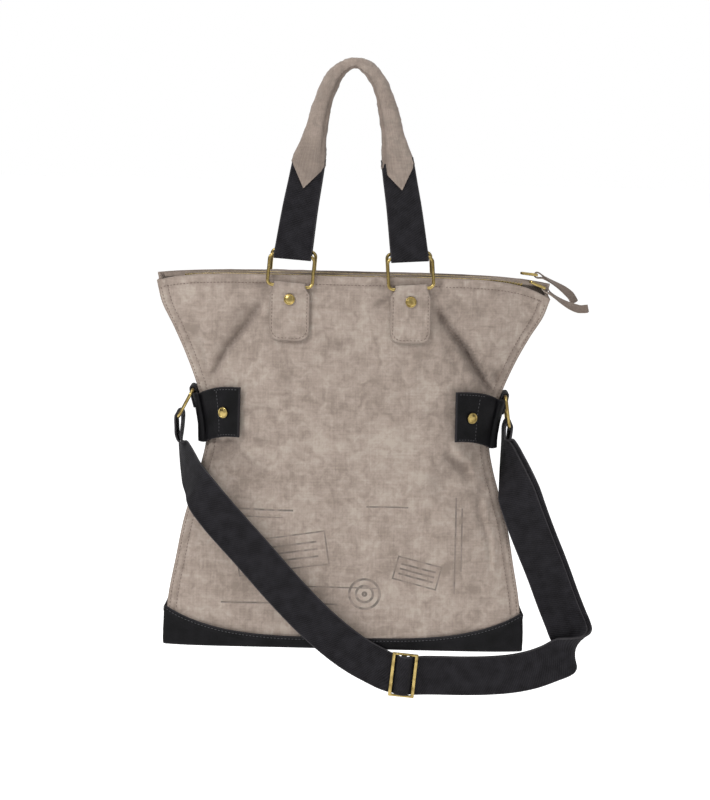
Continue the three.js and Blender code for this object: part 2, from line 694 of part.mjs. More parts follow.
// A handle's middle line, from the left ring's upper bar over the top to the right one's.
function handleCurve(face) {
  const start = handleRing(face, -HANDLE_SPREAD / 2).upper;
  const top = vec(0, (face * GRIP_SPREAD) / 2, GRIP_RISE);
  const leg = (side) =>
    HANDLE_ROWS.slice(0, -1).map(({ rise, spread }) =>
      vec(
        (side * spread * HANDLE_SPREAD) / 2,
        THREE.MathUtils.lerp(start.y, top.y, rise),
        THREE.MathUtils.lerp(start.z, top.z, rise),
      ),
    );
  const line = new THREE.CatmullRomCurve3([...leg(-1), top, ...leg(1).reverse()], false, "centripetal");
  const riseAt = (z) => THREE.MathUtils.clamp((z - start.z) / (top.z - start.z), 0, 1);
  return { line, riseAt, length: line.getLength() };
}

// The frame of a handle's line at a share of its length: tangent, across and out.
function handleFrame(handle, face, share) {
  const at = THREE.MathUtils.clamp(share, 0, 1);
  const point = handle.line.getPointAt(at);
  const tangent = handle.line.getTangentAt(at);
  const across = vec().crossVectors(tangent, vec(0, face, 0)).normalize();
  const out = vec().crossVectors(across, tangent).normalize();
  return { point, tangent, across, out };
}

// Share of the line's length at which a leg has risen by a share of the handle's height.
function lengthShareAt(handle, rise) {
  let low = 0;
  let high = 0.5;
  for (let i = 0; i < 30; i += 1) {
    const middle = (low + high) / 2;
    if (handle.riseAt(handle.line.getPointAt(middle).z) < rise) low = middle;
    else high = middle;
  }
  return low;
}

const WEBBING_STACK = 2 * WEBBING + GAP;
const WEBBING_IN_GRIP = 6;
const WEBBING_TAPER = 0.14; // share of its width that the webbing loses up to the grip

function makeWebbing(face, side, clearance = 0) {
  const handle = handleCurve(face);
  const length = lengthShareAt(handle, GRIP_START) * handle.length + WEBBING_IN_GRIP + clearance;
  const ring = handleRing(face, (side * HANDLE_SPREAD) / 2);
  const place = (s, across, out) => {
    const share = Math.max(s, 0) / handle.length;
    const frame = handleFrame(handle, face, side < 0 ? share : 1 - share);
    const free = THREE.MathUtils.smoothstep(s, 0, WEBBING_WIDTH);
    const wide = ring.width.clone().lerp(frame.across.multiplyScalar(face * side), free);
    return frame.point.clone()
      .addScaledVector(ring.height, Math.min(s, 0))
      .addScaledVector(wide, across)
      .addScaledVector(ring.out.clone().lerp(frame.out, free), out);
  };
  const widthAt = (s) =>
    WEBBING_WIDTH * (1 - WEBBING_TAPER * Math.min(Math.max(s, 0) / length, 1) + (clearance ? WEBBING_TAPER : 0));
  if (clearance) {
    const grid = span(length, length / 2, 8).map((s) => [-0.5, 0.5].map((share) => place(s, share * widthAt(s), 0)));
    const half = WEBBING_STACK / 2 + clearance;
    return sheet(grid, -half, half);
  }
  const leg = (WEBBING + GAP) / 2;
  const profile = loopProfile({ length, thickness: WEBBING, bar: WIRE / 2, inner: -leg, outer: leg });
  const middle = profile.findIndex(({ s }) => s === 0) - 1;
  const extra = (out) => span(length / 4, (length * 3) / 4, 2).map((s) => ({ s, out }));
  const rows = [
    ...profile.slice(0, middle), ...extra(-leg).reverse(), ...profile.slice(middle, -middle),
    ...extra(leg), ...profile.slice(-middle),
  ];
  return makeLoop(rows, WEBBING, widthAt, place, 1);
}

// A rolled grip whose ends reach over the webbing in a point, with a slot for the webbing.
function makeGrip(face) {
  const handle = handleCurve(face);
  const first = lengthShareAt(handle, GRIP_START);
  const shares = span(first, 1 - first, 16);
  const sections = shares.map((share) => gripSection(handle, face, share, 0));
  sections.unshift(gripSection(handle, face, first, -GRIP_POINT));
  sections.push(gripSection(handle, face, 1 - first, GRIP_POINT));
  const grip = loft(sections);
  return [-1, 1].reduce((body, side) => cut(body, makeWebbing(face, side, GAP)), grip);
}

function gripSection(handle, face, share, point) {
  const frame = handleFrame(handle, face, share);
  const { width, thick } = handleAt(handle.riseAt(frame.point.z));
  return span(0, 360, 10).slice(0, -1).map((degrees) => {
    const angle = -THREE.MathUtils.degToRad(degrees);
    const wide = Math.sign(Math.cos(angle)) * Math.abs(Math.cos(angle)) ** 0.8;
    const deep = Math.sign(Math.sin(angle)) * Math.abs(Math.sin(angle)) ** 0.8;
    return frame.point.clone()
      .addScaledVector(frame.across, (wide * width * WEBBING_WIDTH) / 2)
      .addScaledVector(frame.out, (deep * thick * WEBBING_WIDTH) / 2)
      .addScaledVector(frame.tangent, point * (1 - Math.abs(wide)));
  });
}

// Side tabs

const KEEPER = 1.6; // thickness of the keeper loop
const BAND_STAND = KEEPER + 6 * GAP; // the band stands off the seams to let the keeper through
const BAND_LIFT = 2; // the band's inner ends stand up a little
const BAND_TURN = 2.5; // its corners are cut by this much

// The band's inner face at a height k from -1 at its lower edge to 1 at its upper one, from the inner
// end on the front panel round the side to the back panel.
function bandLine(side, k) {
  const level = (droop) => FLOOR + SIDE_TAB_LEVEL + (k * SIDE_TAB_HEIGHT) / 2 - droop * SIDE_TAB_DROOP;
  const seam = Math.abs(bodyPoint(-1, side, shareOf(level(1))).x);
  const faceRun = (face) =>
    span(0, 1, 7).map((share) => {
      const x = THREE.MathUtils.lerp(SIDE_TAB_REACH, seam - BAND_TURN, share ** 0.8);
      return onPanel(face, side * x, level(share * share), 6 * GAP + BAND_LIFT * (1 - share) ** 4).point;
    });
  const flat = KEEPER_WIDTH / 2 + 2 * GAP;
  const turn = [[BAND_TURN, -flat - BAND_TURN], [0, -flat], [0, 0], [0, flat], [BAND_TURN, flat + BAND_TURN]];
  const sideRun = turn.map(([back, y]) => vec(side * (seam + BAND_STAND - back), y, level(1)));
  return { points: [...faceRun(-1), ...sideRun, ...faceRun(1).reverse()], x: seam + BAND_STAND, z: level(1) };
}

function makeSideTab(side) {
  const lines = [-1, -1 / 3, 1 / 3, 1].map((k) => bandLine(side, k).points);
  const grid = lines[0].map((_, i) => lines.map((line) => line[i]));
  return side < 0 ? sheet(grid, 0, SIDE_TAB) : sheet(grid, -SIDE_TAB, 0);
}

function addSideRivets(end, side) {
  const z = FLOOR + SIDE_TAB_LEVEL - SIDE_RIVET_DROP;
  for (const [where, face] of [["front", -1], ["rear", 1]]) {
    const x = side * (SIDE_TAB_REACH + SIDE_RIVET_INSET);
    const head = onPanel(face, x, z, BAND_LIFT / 2 + SIDE_TAB + 7 * GAP);
    addRivet(`side_rivet_${where}_${end}`, head.point, head.normal);
  }
}

// The side ring hangs from a keeper that straddles the band's upper edge.
function sideRing(side) {
  const low = bandLine(side, 1 / 3);
  const top = bandLine(side, 1);
  const lean = (top.x - low.x) / (top.z - low.z);
  const rise = WIRE / 2 + 3 * GAP;
  const upper = vec(side * (top.x + SIDE_TAB / 2 + lean * rise), 0, top.z + rise);
  const swing = THREE.MathUtils.degToRad(side < 0 ? LEFT_SWING : RIGHT_SWING);
  const height = vec(-side * Math.sin(swing), 0, Math.cos(swing));
  const lower = upper.clone().addScaledVector(height, -(RING_HEIGHT - WIRE));
  return { upper, lower, height, lean, centre: vec().addVectors(upper, lower).divideScalar(2) };
}

function makeKeeper(side) {
  const { upper, lean } = sideRing(side);
  const radius = (SIDE_TAB + KEEPER) / 2 + GAP;
  const arch = span(0, 180, 6).map((degrees) => {
    const angle = THREE.MathUtils.degToRad(degrees);
    return [-radius * Math.sin(angle), -radius * Math.cos(angle)];
  });
  const rows = [[KEEPER_LEG, -radius], ...arch, [KEEPER_LEG, radius]];
  const grid = rows.map(([s, out]) =>
    [-0.5, 0.5].map((share) => vec(upper.x + side * (out - lean * s), share * KEEPER_WIDTH, upper.z - s)),
  );
  return sheet(grid, -KEEPER / 2, KEEPER / 2);
}

// Shoulder strap. A station has a point, the direction across the strap, the way it faces and its
// width there. The strap starts with a sewn end behind its loop on the left ring, runs through the
// slider, folds over, goes up and round the right ring, and returns behind itself to the slider.

const STRAP_BAR = WIRE / 2 + LOOP_EASE + STRAP / 2; // from a bar's middle to the strap's middle
const LAYER = STRAP + GAP;

function station(point, tangent, normal, width = STRAP_WIDTH) {
  const across = vec().crossVectors(tangent, normal).normalize();
  return { point, across, width, normal: vec().crossVectors(across, tangent).normalize() };
}

function faceDirection(degrees) {
  const angle = THREE.MathUtils.degToRad(degrees);
  return vec(Math.sin(angle), -Math.cos(angle), 0);
}

// Stations on a smooth line through a table's rows, between two given ends.
function strapRun(before, rows, after, count) {
  const spot = ({ x, y, z }) => vec((x * BASE_WIDTH) / 2, (y * BASE_DEPTH) / 2, FLOOR + z * BODY_HEIGHT);
  const points = [before.point, ...rows.map(spot), after.point];
  const faces = [before.face, ...rows.map((row) => row.face), after.face];
  const line = new THREE.CatmullRomCurve3(points, false, "centripetal");
  return span(0, 1, count).slice(1, -1).map((t) => {
    const place = t * (faces.length - 1);
    const i = Math.min(Math.floor(place), faces.length - 2);
    const turn = THREE.MathUtils.lerp(faces[i], faces[i + 1], place - i);
    return station(line.getPoint(t), line.getTangent(t), faceDirection(turn));
  });
}

// Half a turn round the fold's axis, from facing the front to facing the back.
function foldStations() {
  const start = vec((FOLD_X * BASE_WIDTH) / 2, (FOLD_Y * BASE_DEPTH) / 2, FLOOR + FOLD_Z * BODY_HEIGHT);
  const slant = THREE.MathUtils.degToRad(FOLD_AXIS);
  const entry = THREE.MathUtils.degToRad(FOLD_AXIS - FOLD_ENTRY);
  const axis = vec(Math.cos(slant), 0, Math.sin(slant));
  const away = vec(Math.sin(slant), 0, -Math.cos(slant));
  return span(0, Math.PI, 8).map((turn) => {
    const point = start.clone()
      .addScaledVector(axis, (FOLD_RADIUS * turn) / Math.tan(entry))
      .addScaledVector(away, FOLD_RADIUS * Math.sin(turn))
      .add(vec(0, FOLD_RADIUS * (1 - Math.cos(turn)), 0));
    const around = away.clone().multiplyScalar(Math.cos(turn)).add(vec(0, Math.sin(turn), 0));
    const tangent = axis.clone().multiplyScalar(Math.cos(entry)).addScaledVector(around, Math.sin(entry));
    return station(point, tangent, away.clone().multiplyScalar(Math.sin(turn)).add(vec(0, -Math.cos(turn), 0)));
  });
}

// From the right of a side ring's lower bar over its top to its left.
function barStations(centre) {
  return span(0, Math.PI, 6).map((angle) => {
    const radial = vec(Math.cos(angle), 0, Math.sin(angle));
    const tangent = vec(-Math.sin(angle), 0, Math.cos(angle));
    return station(centre.clone().addScaledVector(radial, STRAP_BAR), tangent, radial, STRAP_NECK);
  });
}

// The slider's frame: along the strap, across it, and out towards the front.
function sliderFrame() {
  const slope = THREE.MathUtils.degToRad(BUCKLE_SLOPE);
  const centre = vec((BUCKLE_X * BASE_WIDTH) / 2, (BUCKLE_Y * BASE_DEPTH) / 2, FLOOR + BUCKLE_Z * BODY_HEIGHT);
  return { centre, along: vec(Math.cos(slope), 0, -Math.sin(slope)), down: vec(-Math.sin(slope), 0, -Math.cos(slope)) };
}

// Stations in the slider's frame, from rows of distances along it and out from its middle.
function sliderStations(rows) {
  const { centre, along, down } = sliderFrame();
  const front = vec(0, -1, 0);
  return rows.map(([s, out], i) => {
    const [s0, out0] = rows[Math.max(i - 1, 0)];
    const [s1, out1] = rows[Math.min(i + 1, rows.length - 1)];
    const tangent = along.clone().multiplyScalar(s1 - s0).addScaledVector(front, out1 - out0).normalize();
    const point = centre.clone().addScaledVector(along, s).addScaledVector(front, out);
    return { point, across: down, normal: vec().crossVectors(down, tangent), width: STRAP_WIDTH };
  });
}

// The strap's way under the slider's outer bars and over its middle one, and the way of its end,
// which comes back behind it and hooks round the middle bar.
function sliderPasses() {
  const bar = BUCKLE_BAR / 2;
  const end = BUCKLE_LENGTH / 2;
  const wrap = BUCKLE_THICKNESS / 2 + GAP + STRAP / 2;
  const over = wrap + LAYER + GAP;
  const dip = end - BUCKLE_BAR - STRAP / 3;
  const crest = bar + STRAP;
  const hook = bar + GAP + STRAP / 2;
  return {
    outer: sliderStations([[-end, -wrap], [-dip, -wrap], [-crest, over], [crest, over], [dip, -wrap], [end, -wrap]]),
    inner: sliderStations([
      [end, -wrap - LAYER], [dip - STRAP / 2, -wrap - LAYER], [bar + STRAP / 2, wrap], [-bar, wrap],
      [-hook, bar], [-hook, -bar], [-bar, -wrap], [bar / 2, -wrap],
    ]),
  };
}

// Stations that lie behind others, by a distance and a slip to the side for each.
function behind(stations, depthAt, slipAt = () => 0) {
  return stations.map((here, i) => ({
    ...here,
    point: here.point.clone()
      .addScaledVector(here.normal, -depthAt(i))
      .addScaledVector(here.across, slipAt(i)),
  })).reverse();
}

function strapStations() {
  const left = sideRing(-1).lower;
  const right = sideRing(1).lower;
  const pass = sliderPasses();
  const fold = foldStations();
  const beside = (centre, reach, face) => ({ point: centre.clone().add(vec(reach, 0, 0)), face });
  const first = (stations, face) => ({ point: stations[0].point, face });
  const last = (stations, face) => ({ point: stations[stations.length - 1].point, face });
  const down = strapRun(beside(left, -STRAP_BAR, -90), LEFT_RUN, first(pass.outer, 0), 26);
  const level = strapRun(last(pass.outer, 0), RIGHT_RUN, first(fold, 0), 8);
  const rising = strapRun(last(fold, 180), RISING_RUN, beside(right, STRAP_BAR, 90), 16);
  const apart = (share) => THREE.MathUtils.lerp(2 * STRAP_BAR, LAYER, THREE.MathUtils.smoothstep(share, 0, 1));
  const sewn = down.filter(({ point }) => point.z > left.z - TAIL);
  const top = rising.length;
  const slip = (share) => LAYER_SLIP * THREE.MathUtils.smoothstep(share, 0, 1);
  return [
    ...behind(sewn, (i) => apart((i + 1) / sewn.length)),
    ...barStations(left), ...down, ...pass.outer, ...level, ...fold, ...rising, ...barStations(right),
    ...behind(rising, (i) => apart((top - i) / 4), (i) => slip((top - i) / 4)),
    ...behind(fold, () => LAYER, (i) => slip(i / (fold.length - 1))),
    ...behind(level, () => LAYER),
    ...pass.inner,
  ];
}

function makeStrap() {
  const grid = strapStations().map(({ point, across, width }) =>
    [-0.5, 0.5].map((share) => point.clone().addScaledVector(across, share * width)),
  );
  return sheet(grid, -STRAP / 2, STRAP / 2);
}

function makeStrapSlider() {
  const { centre, along, down } = sliderFrame();
  const window = (BUCKLE_LENGTH - 3 * BUCKLE_BAR) / 2;
  const plate = new THREE.BoxGeometry(BUCKLE_LENGTH, BUCKLE_HEIGHT, BUCKLE_THICKNESS);
  const frame = [-1, 1].reduce((body, side) => {
    const hole = new THREE.BoxGeometry(window, BUCKLE_HEIGHT - 2 * BUCKLE_SIDE, 2 * BUCKLE_THICKNESS);
    return cut(body, hole.translate((side * (window + BUCKLE_BAR)) / 2, 0, 0));
  }, plate);
  const turn = new THREE.Matrix4().makeBasis(along, down.clone().negate(), vec(0, -1, 0));
  return frame.applyMatrix4(turn).translate(centre.x, centre.y, centre.z);
}

addPiece("front_panel", makePanel(-1), washedCanvas);
addPiece("back_panel", makePanel(1), washedCanvas);
addPiece("gusset_left", makeGusset(-1), washedCanvas);
addPiece("gusset_right", makeGusset(1), washedCanvas);
addPiece("divider", makeDivider(), washedCanvas);
addPiece("boot_wall", makeBootWall(), blackLeather);
addPiece("base_panel", makeBasePanel(), blackLeather);
addPiece("mat_sleeve", makeMatSleeve(), washedCanvas);

for (const [where, zip] of Object.entries(ZIP_ROWS)) {
  const { face } = zip;
  addPiece(`zip_tape_${where}`, makeTape(face), zipCloth);
  addPiece(`zip_chain_${where}`, makeChain(zip), zipCloth);
  addPiece(`zip_slider_${where}`, makeSlider(zip), agedBrass);
  addPiece(`zip_pull_${where}`, makePull(zip), washedCanvas);
  addPiece(`grip_${where}`, makeGrip(face), washedCanvas);
  for (const [end, side] of [["left", -1], ["right", 1]]) {
    const middle = (side * HANDLE_SPREAD) / 2;
    const ring = handleRing(face, middle);
    addPiece(`ring_tab_${where}_${end}`, makeRingTab(face, middle), washedCanvas);
    addPiece(`ring_${where}_${end}`, makeRing(ring.centre, ring.width, ring.height), agedBrass);
    addPiece(`webbing_${where}_${end}`, makeWebbing(face, side), blackWebbing);
    const seat = 2 * (GAP + TAB_CANVAS) + 2 * GAP;
    const head = onPanel(face, middle, BAR_LEVEL - RIVET_BELOW_BAR, seat);
    addRivet(`ring_rivet_${where}_${end}`, head.point, head.normal);
  }
}

for (const [end, side] of [["left", -1], ["right", 1]]) {
  const ring = sideRing(side);
  addPiece(`side_tab_${end}`, makeSideTab(side), blackLeather);
  addPiece(`ring_keeper_${end}`, makeKeeper(side), blackLeather);
  addPiece(`side_ring_${end}`, makeRing(ring.centre, vec(0, 1, 0), ring.height), agedBrass);
  addSideRivets(end, side);
}
addPiece("shoulder_strap", makeStrap(), blackWebbing);
addPiece("strap_slider", makeStrapSlider(), agedBrass);

export default bag;
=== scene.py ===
"""A canvas tote that hangs by its two handles: washed canvas, black leather, webbing and brass.

Lengths in the tables are millimetres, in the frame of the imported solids. The finished meshes are in
metres, each with its object at the origin.
"""

from collections import namedtuple
from contextlib import contextmanager
from functools import partial
from math import cos, pi, radians, sin

import bmesh
import bpy
import numpy as np
from mathutils import Matrix, Vector, noise


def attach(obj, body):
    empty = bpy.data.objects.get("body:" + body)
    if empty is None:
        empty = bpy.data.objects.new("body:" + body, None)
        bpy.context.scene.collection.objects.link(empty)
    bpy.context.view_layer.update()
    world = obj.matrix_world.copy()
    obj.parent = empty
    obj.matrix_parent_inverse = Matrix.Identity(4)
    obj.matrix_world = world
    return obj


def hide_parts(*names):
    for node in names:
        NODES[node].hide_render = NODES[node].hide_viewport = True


bl_info = {
    "name": "Canvas Tote",
    "version": (1, 0, 0),
    "blender": (4, 5, 0),
    "location": "3D View > Sidebar > Tote",
    "description": "Dresses the solids of a canvas tote in cloth, leather, webbing, brass and thread",
    "category": "Object",
}

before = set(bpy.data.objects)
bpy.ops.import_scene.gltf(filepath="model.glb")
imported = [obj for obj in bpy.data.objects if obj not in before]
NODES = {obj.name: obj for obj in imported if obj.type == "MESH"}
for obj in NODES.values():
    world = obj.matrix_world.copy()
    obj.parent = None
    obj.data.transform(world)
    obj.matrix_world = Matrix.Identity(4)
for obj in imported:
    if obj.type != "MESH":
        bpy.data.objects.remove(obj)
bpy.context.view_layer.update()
MM = 0.001

# The body, as in the part's source
HANG_DROP = 554
BODY_HEIGHT = 358
BASE_WIDTH = 342
BASE_DEPTH = 100
CANVAS = 1.6
LEFT_DROOP = 10
RIGHT_DROOP = 20
REAR_DROOP = 0.3
TOP_SHIFT = 3
GAP = 0.3
LEATHER = 2
BOOT_CORNER = 37
BOOT_MIDDLE = 11
BOOT_EASE = 0.5
TAPE = 1.2
TAPE_SINK = 5
FLOOR = -HANG_DROP
FOOT = 3.3

# Up the body: height, then width, depth, depth at the seams and tuck of the gussets as shares of the
# base, and how square the section is
BODY_ROWS = (
    (0, 1, 1, 0.9, 0, 9),
    (0.11, 0.994, 1.01, 0.84, 0.03, 8),
    (0.23, 0.953, 1.02, 0.68, 0.12, 6),
    (0.33, 0.915, 1.02, 0.5, 0.25, 5),
    (0.4, 0.874, 1, 0.37, 0.36, 4.6),
    (0.475, 0.829, 0.97, 0.24, 0.48, 4.3),
    (0.545, 0.804, 0.93, 0.18, 0.52, 4.2),
    (0.62, 0.824, 0.9, 0.17, 0.52, 4.2),
    (0.69, 0.862, 0.87, 0.17, 0.5, 3.8),
    (0.78, 0.932, 0.8, 0.16, 0.42, 3.2),
    (0.86, 1.006, 0.73, 0.14, 0.3, 2.7),
    (0.93, 1.075, 0.66, 0.12, 0.16, 2.4),
    (1, 1.11, 0.6, 0.1, 0.05, 2.2),
)

# Soft creases, as in the part's source: two ends (x, z), depth and half width
CREASES = (
    ((-95.8, -231.8), (-130, -292.7), 6, 15),
    ((97.5, -235.4), (140.2, -307), 6.5, 15),
    ((-123.1, -364.3), (-85.5, -385.7), 4, 15),
    ((123.1, -367.8), (88.9, -392.9), 4, 15),
)

# Sharper folds on top of them: points (x, z), half width, depth
FRONT_FOLDS = (
    (((-76, -208), (-96.6, -241.7), (-116.9, -268.1), (-133, -299), (-142, -318)), 3.6, 2.4),
    (((76, -213), (92.8, -242.1), (112.5, -266.5), (127.6, -290.9), (148, -322)), 3.8, 4.6),
    (((78.9, -232), (94, -262), (107.4, -290)), 4, 1.6),
    (((142.5, -284), (142.2, -300)), 3, 1.6),
    (((-92, -205.5), (-74, -206.5)), 3.5, 1.8),
    (((20, -199), (37, -211)), 4, 1.8),
    (((24, -228), (39, -212)), 3.5, 1.5),
    (((76, -206.5), (89, -200)), 3.5, 1.5),
    (((-139, -358), (-118, -360)), 3.5, 1.7),
    (((-119, -355), (-100, -364)), 4, 1.8),
    (((-134, -375), (-113, -356)), 3.5, 1.6),
    (((91, -361), (113, -379.5), (122, -395)), 5, 2.4),
    (((127.7, -398), (129.2, -423.5), (138.7, -449.1), (140.4, -487)), 3, 1.4),
    (((127, -398), (138, -407)), 3, 1.2),
    (((130, -501), (147, -509)), 3, 1.2),
    (((-150, -250), (-141, -276), (-136, -300)), 4, 1.4),
    (((-104, -330), (-84, -322), (-60, -326)), 4, 1.1),
    (((-106, -346), (-82, -356), (-58, -352)), 4, 1.2),
    (((104, -332), (86, -324), (66, -327)), 4, 1.1),
    (((-36, -246), (-10, -262), (20, -250)), 6, 0.8),
    (((-140, -402), (-110, -428), (-92, -462)), 5, 1.0),
    (((60, -262), (48, -290), (44, -322)), 5, 0.8),
    (((-62, -264), (-54, -292), (-60, -322)), 5, 0.8),
)
BACK_FOLDS = (
    (((-74, -214), (-94, -243), (-114, -270), (-134, -302)), 5, 3.4),
    (((75, -210), (94, -240), (115, -268), (133, -300)), 5.5, 2.8),
    (((-122, -358), (-98, -372)), 4, 1.8),
    (((100, -357), (124, -372)), 4, 1.8),
    (((-30, -203), (-8, -214), (18, -205)), 5, 1.5),
)

# Front grip's middle line from its left end to the top: x, y, z, width, thickness
GRIP_ROWS = (
    (-42.6, -20.4, -90.7, 32.4, 8.3),
    (-40.1, -18.7, -77.2, 26.7, 11.5),
    (-37.2, -17.1, -63.6, 22.3, 14.0),
    (-34.3, -15.4, -50.1, 19.5, 15.1),
    (-31.3, -13.7, -36.5, 17.4, 15.4),
    (-27.2, -12.0, -23.3, 16.1, 15.5),
    (-21.4, -10.5, -10.7, 15.3, 15.5),
    (-12.7, -9.1, 0.0, 12.7, 15.8),
    (0.0, -8.5, 5.0, 10.4, 16.2),
)
GRIP_POINT = 24

RING_WIDTH = 46
RING_HEIGHT = 32.5
WIRE = 3.2
RING_CORNER = 5
RIVET_RADIUS = 5.25
RIVET_HEIGHT = 2.2


def linear(hex_colour):
    """The linear RGBA colour of an sRGB hex value."""
    parts = [int(hex_colour[i : i + 2], 16) / 255 for i in (1, 3, 5)]
    return tuple(c / 12.92 if c <= 0.04045 else ((c + 0.055) / 1.055) ** 2.4 for c in parts) + (1.0,)


def colour_property(name, description, hex_colour):
    return bpy.props.FloatVectorProperty(
        name=name,
        description=description,
        default=linear(hex_colour)[:3],
        subtype="COLOR",
        size=3,
        min=0,
        max=1,
    )


def length_property(name, description, millimetres):
    return bpy.props.FloatProperty(
        name=name, description=description, default=millimetres * MM, unit="LENGTH", subtype="DISTANCE"
    )


class ToteCloth(bpy.types.PropertyGroup):
    """Sizes and colours of the canvas and the webbing."""

    canvas: colour_property("Canvas", "Middle tone of the washed canvas", "#95877d")
    canvas_dark: colour_property("Canvas, dark", "Where the dye has stayed", "#82756b")
    canvas_pale: colour_property("Canvas, pale", "Where the wash has taken most dye", "#a5998e")
    weave: length_property("Weave", "Distance between the ribs of the weave as drawn", 1.3)
    crumple: length_property("Crumple", "Height of the small uneven places in the canvas", 2)
    webbing: colour_property("Webbing", "Black cotton webbing", "#131214")
    webbing_rib: length_property("Webbing rib", "Distance between the ribs of the webbing as drawn", 2)


class ToteTrim(bpy.types.PropertyGroup):
    """Sizes and colours of leather, brass and thread."""

    leather: colour_property("Leather", "Black leather", "#080809")
    brass: colour_property("Brass", "Aged brass of rings, rivets and zips", "#b09b62")
    thread: colour_property("Thread", "Thread on the canvas", "#66574e")
    stitch: length_property("Stitch", "Length of one stitch", 2.4)
    stitch_pitch: length_property("Stitch pitch", "Distance from stitch to stitch", 3.4)
    stitch_width: length_property("Stitch width", "Thickness of the thread", 0.75)


class ToteStage(bpy.types.PropertyGroup):
    """Camera, floor and light."""

    distance: bpy.props.FloatProperty(
        name="Distance",
        description="From the camera to the bag",
        default=2.2,
        unit="LENGTH",
        subtype="DISTANCE",
    )
    elevation: bpy.props.FloatProperty(
        name="Elevation", description="How far the camera looks down", default=radians(8), subtype="ANGLE"
    )
    roll: bpy.props.FloatProperty(
        name="Roll", description="Turn of the picture", default=radians(1.3), subtype="ANGLE"
    )
    drop: bpy.props.FloatProperty(
        name="Floor", description="Height of the floor", default=-0.8, unit="LENGTH", subtype="DISTANCE"
    )
    light: bpy.props.FloatProperty(
        name="Light", description="Power of the key light", default=44, subtype="POWER"
    )


# Curves and grids


def smooth_table(rows):
    """A smooth curve through the rows of a table, read at values of its first column."""
    table = np.array(rows, float)
    at, values = table[:, 0], table[:, 1:]
    slopes = np.diff(values, axis=0) / np.diff(at)[:, None]
    tangents = np.vstack([slopes[:1], (slopes[1:] + slopes[:-1]) / 2, slopes[-1:]])

    def read(x):
        x = np.clip(np.asarray(x, float), at[0], at[-1])
        i = np.clip(np.searchsorted(at, x, side="right") - 1, 0, len(at) - 2)
        step = (at[i + 1] - at[i])[..., None]
        t = (x - at[i])[..., None] / step
        start = (2 * t**3 - 3 * t**2 + 1) * values[i] + (t**3 - 2 * t**2 + t) * step * tangents[i]
        end = (3 * t**2 - 2 * t**3) * values[i + 1] + (t**3 - t**2) * step * tangents[i + 1]
        return start + end

    return read


def smoothstep(x, low, high):
    t = np.clip((x - low) / (high - low), 0, 1)
    return t * t * (3 - 2 * t)


def unit(vectors):
    return vectors / np.maximum(np.linalg.norm(vectors, axis=-1, keepdims=True), 1e-12)


def lengths_along(points):
    steps = np.linalg.norm(np.diff(points, axis=0), axis=-1)
    return np.concatenate([[0], np.cumsum(steps)])


def with_rims(low, high, count, rim):
    """Evenly spaced values with one more just inside each end."""
    inner = np.linspace(low, high, count)[1:-1]
    return np.concatenate([[low, low + rim], inner, [high - rim, high]])


def grid_normals(grid, wrap):
    """Unit normals of a grid of points: its columns' direction crossed with its rows'."""
    if wrap:
        across = np.roll(grid, -1, axis=1) - np.roll(grid, 1, axis=1)
    else:
        across = np.gradient(grid, axis=1)
    return unit(np.cross(across, np.gradient(grid, axis=0)))


# A finished sheet: its object, the outer surface and normals, and the values of its rows and columns
Cloth = namedtuple("Cloth", "obj points normals rows columns")


def sheet(name, grid, low, high, uv, rim=None, wrap=False, rows=None, columns=None, fold_and_shade=None, outer=1):
    """A closed sheet on a grid of points, from one distance along its normal to another.

    uv holds metres per point. rim is each point's distance in mm to the nearest edge; the shade values, kept
    like rim as an attribute, say how much painted shade falls on each point, most where it lies deep in a
    crease. outer says which side is the outer one.
    """
    count, wide = grid.shape[:2]
    normal = grid_normals(grid, wrap)
    low = np.broadcast_to(low, grid.shape[:2])
    high = np.broadcast_to(high, grid.shape[:2])
    round_edge = np.ones(grid.shape[:2])
    round_edge[[0, -1], :] = 0.45
    if not wrap:
        round_edge[:, [0, -1]] = 0.45
    middle, half = (low + high) / 2, (high - low) / 2 * round_edge
    skins = [grid + normal * (middle - half)[..., None], grid + normal * (middle + half)[..., None]]
    i, j = np.meshgrid(np.arange(count - 1), np.arange(wide if wrap else wide - 1), indexing="ij")
    i, j = i.ravel(), j.ravel()

    def at(skin, row, column):
        return skin * count * wide + row * wide + column % wide

    faces = [
        np.stack([at(1, i, j), at(1, i, j + 1), at(1, i + 1, j + 1), at(1, i + 1, j)], -1),
        np.stack([at(0, i, j), at(0, i + 1, j), at(0, i + 1, j + 1), at(0, i, j + 1)], -1),
    ]
    k = np.arange(wide if wrap else wide - 1)
    first, last = 0 * k, count - 1 + 0 * k
    faces.append(np.stack([at(0, first, k), at(0, first, k + 1), at(1, first, k + 1), at(1, first, k)], -1))
    faces.append(np.stack([at(1, last, k), at(0, last, k), at(0, last, k + 1), at(1, last, k + 1)], -1))
    if not wrap:
        k = np.arange(count - 1)
        start, end = 0 * k, wide - 1 + 0 * k
        faces.append(np.stack([at(0, k, start), at(1, k, start), at(1, k + 1, start), at(0, k + 1, start)], -1))
        faces.append(np.stack([at(1, k, end), at(0, k, end), at(0, k + 1, end), at(1, k + 1, end)], -1))
    points = np.concatenate([skin.reshape(-1, 3) for skin in skins])
    obj = mesh_object(name, points, np.concatenate(faces).tolist())
    put_uv(obj.data, np.tile(uv.reshape(-1, 2), (2, 1)))
    put_attribute(obj.data, "rim", rim, 2)
    put_attribute(obj.data, "fold_and_shade", fold_and_shade, 2)
    surface = skins[1] if outer > 0 else skins[0]
    return Cloth(obj, surface, normal * outer, np.asarray(rows, float), np.asarray(columns, float))


def add_object(name, data):
    """A new object at the origin, in the scene."""
    data.name = name
    obj = bpy.data.objects.new(name, data)
    bpy.context.scene.collection.objects.link(obj)
    return obj


def mesh_object(name, points, faces):
    """A new object at the origin from points in mm."""
    mesh = bpy.data.meshes.new(name)
    mesh.from_pydata((points * MM).tolist(), [], faces)
    mesh.update()
    return add_object(name, mesh)


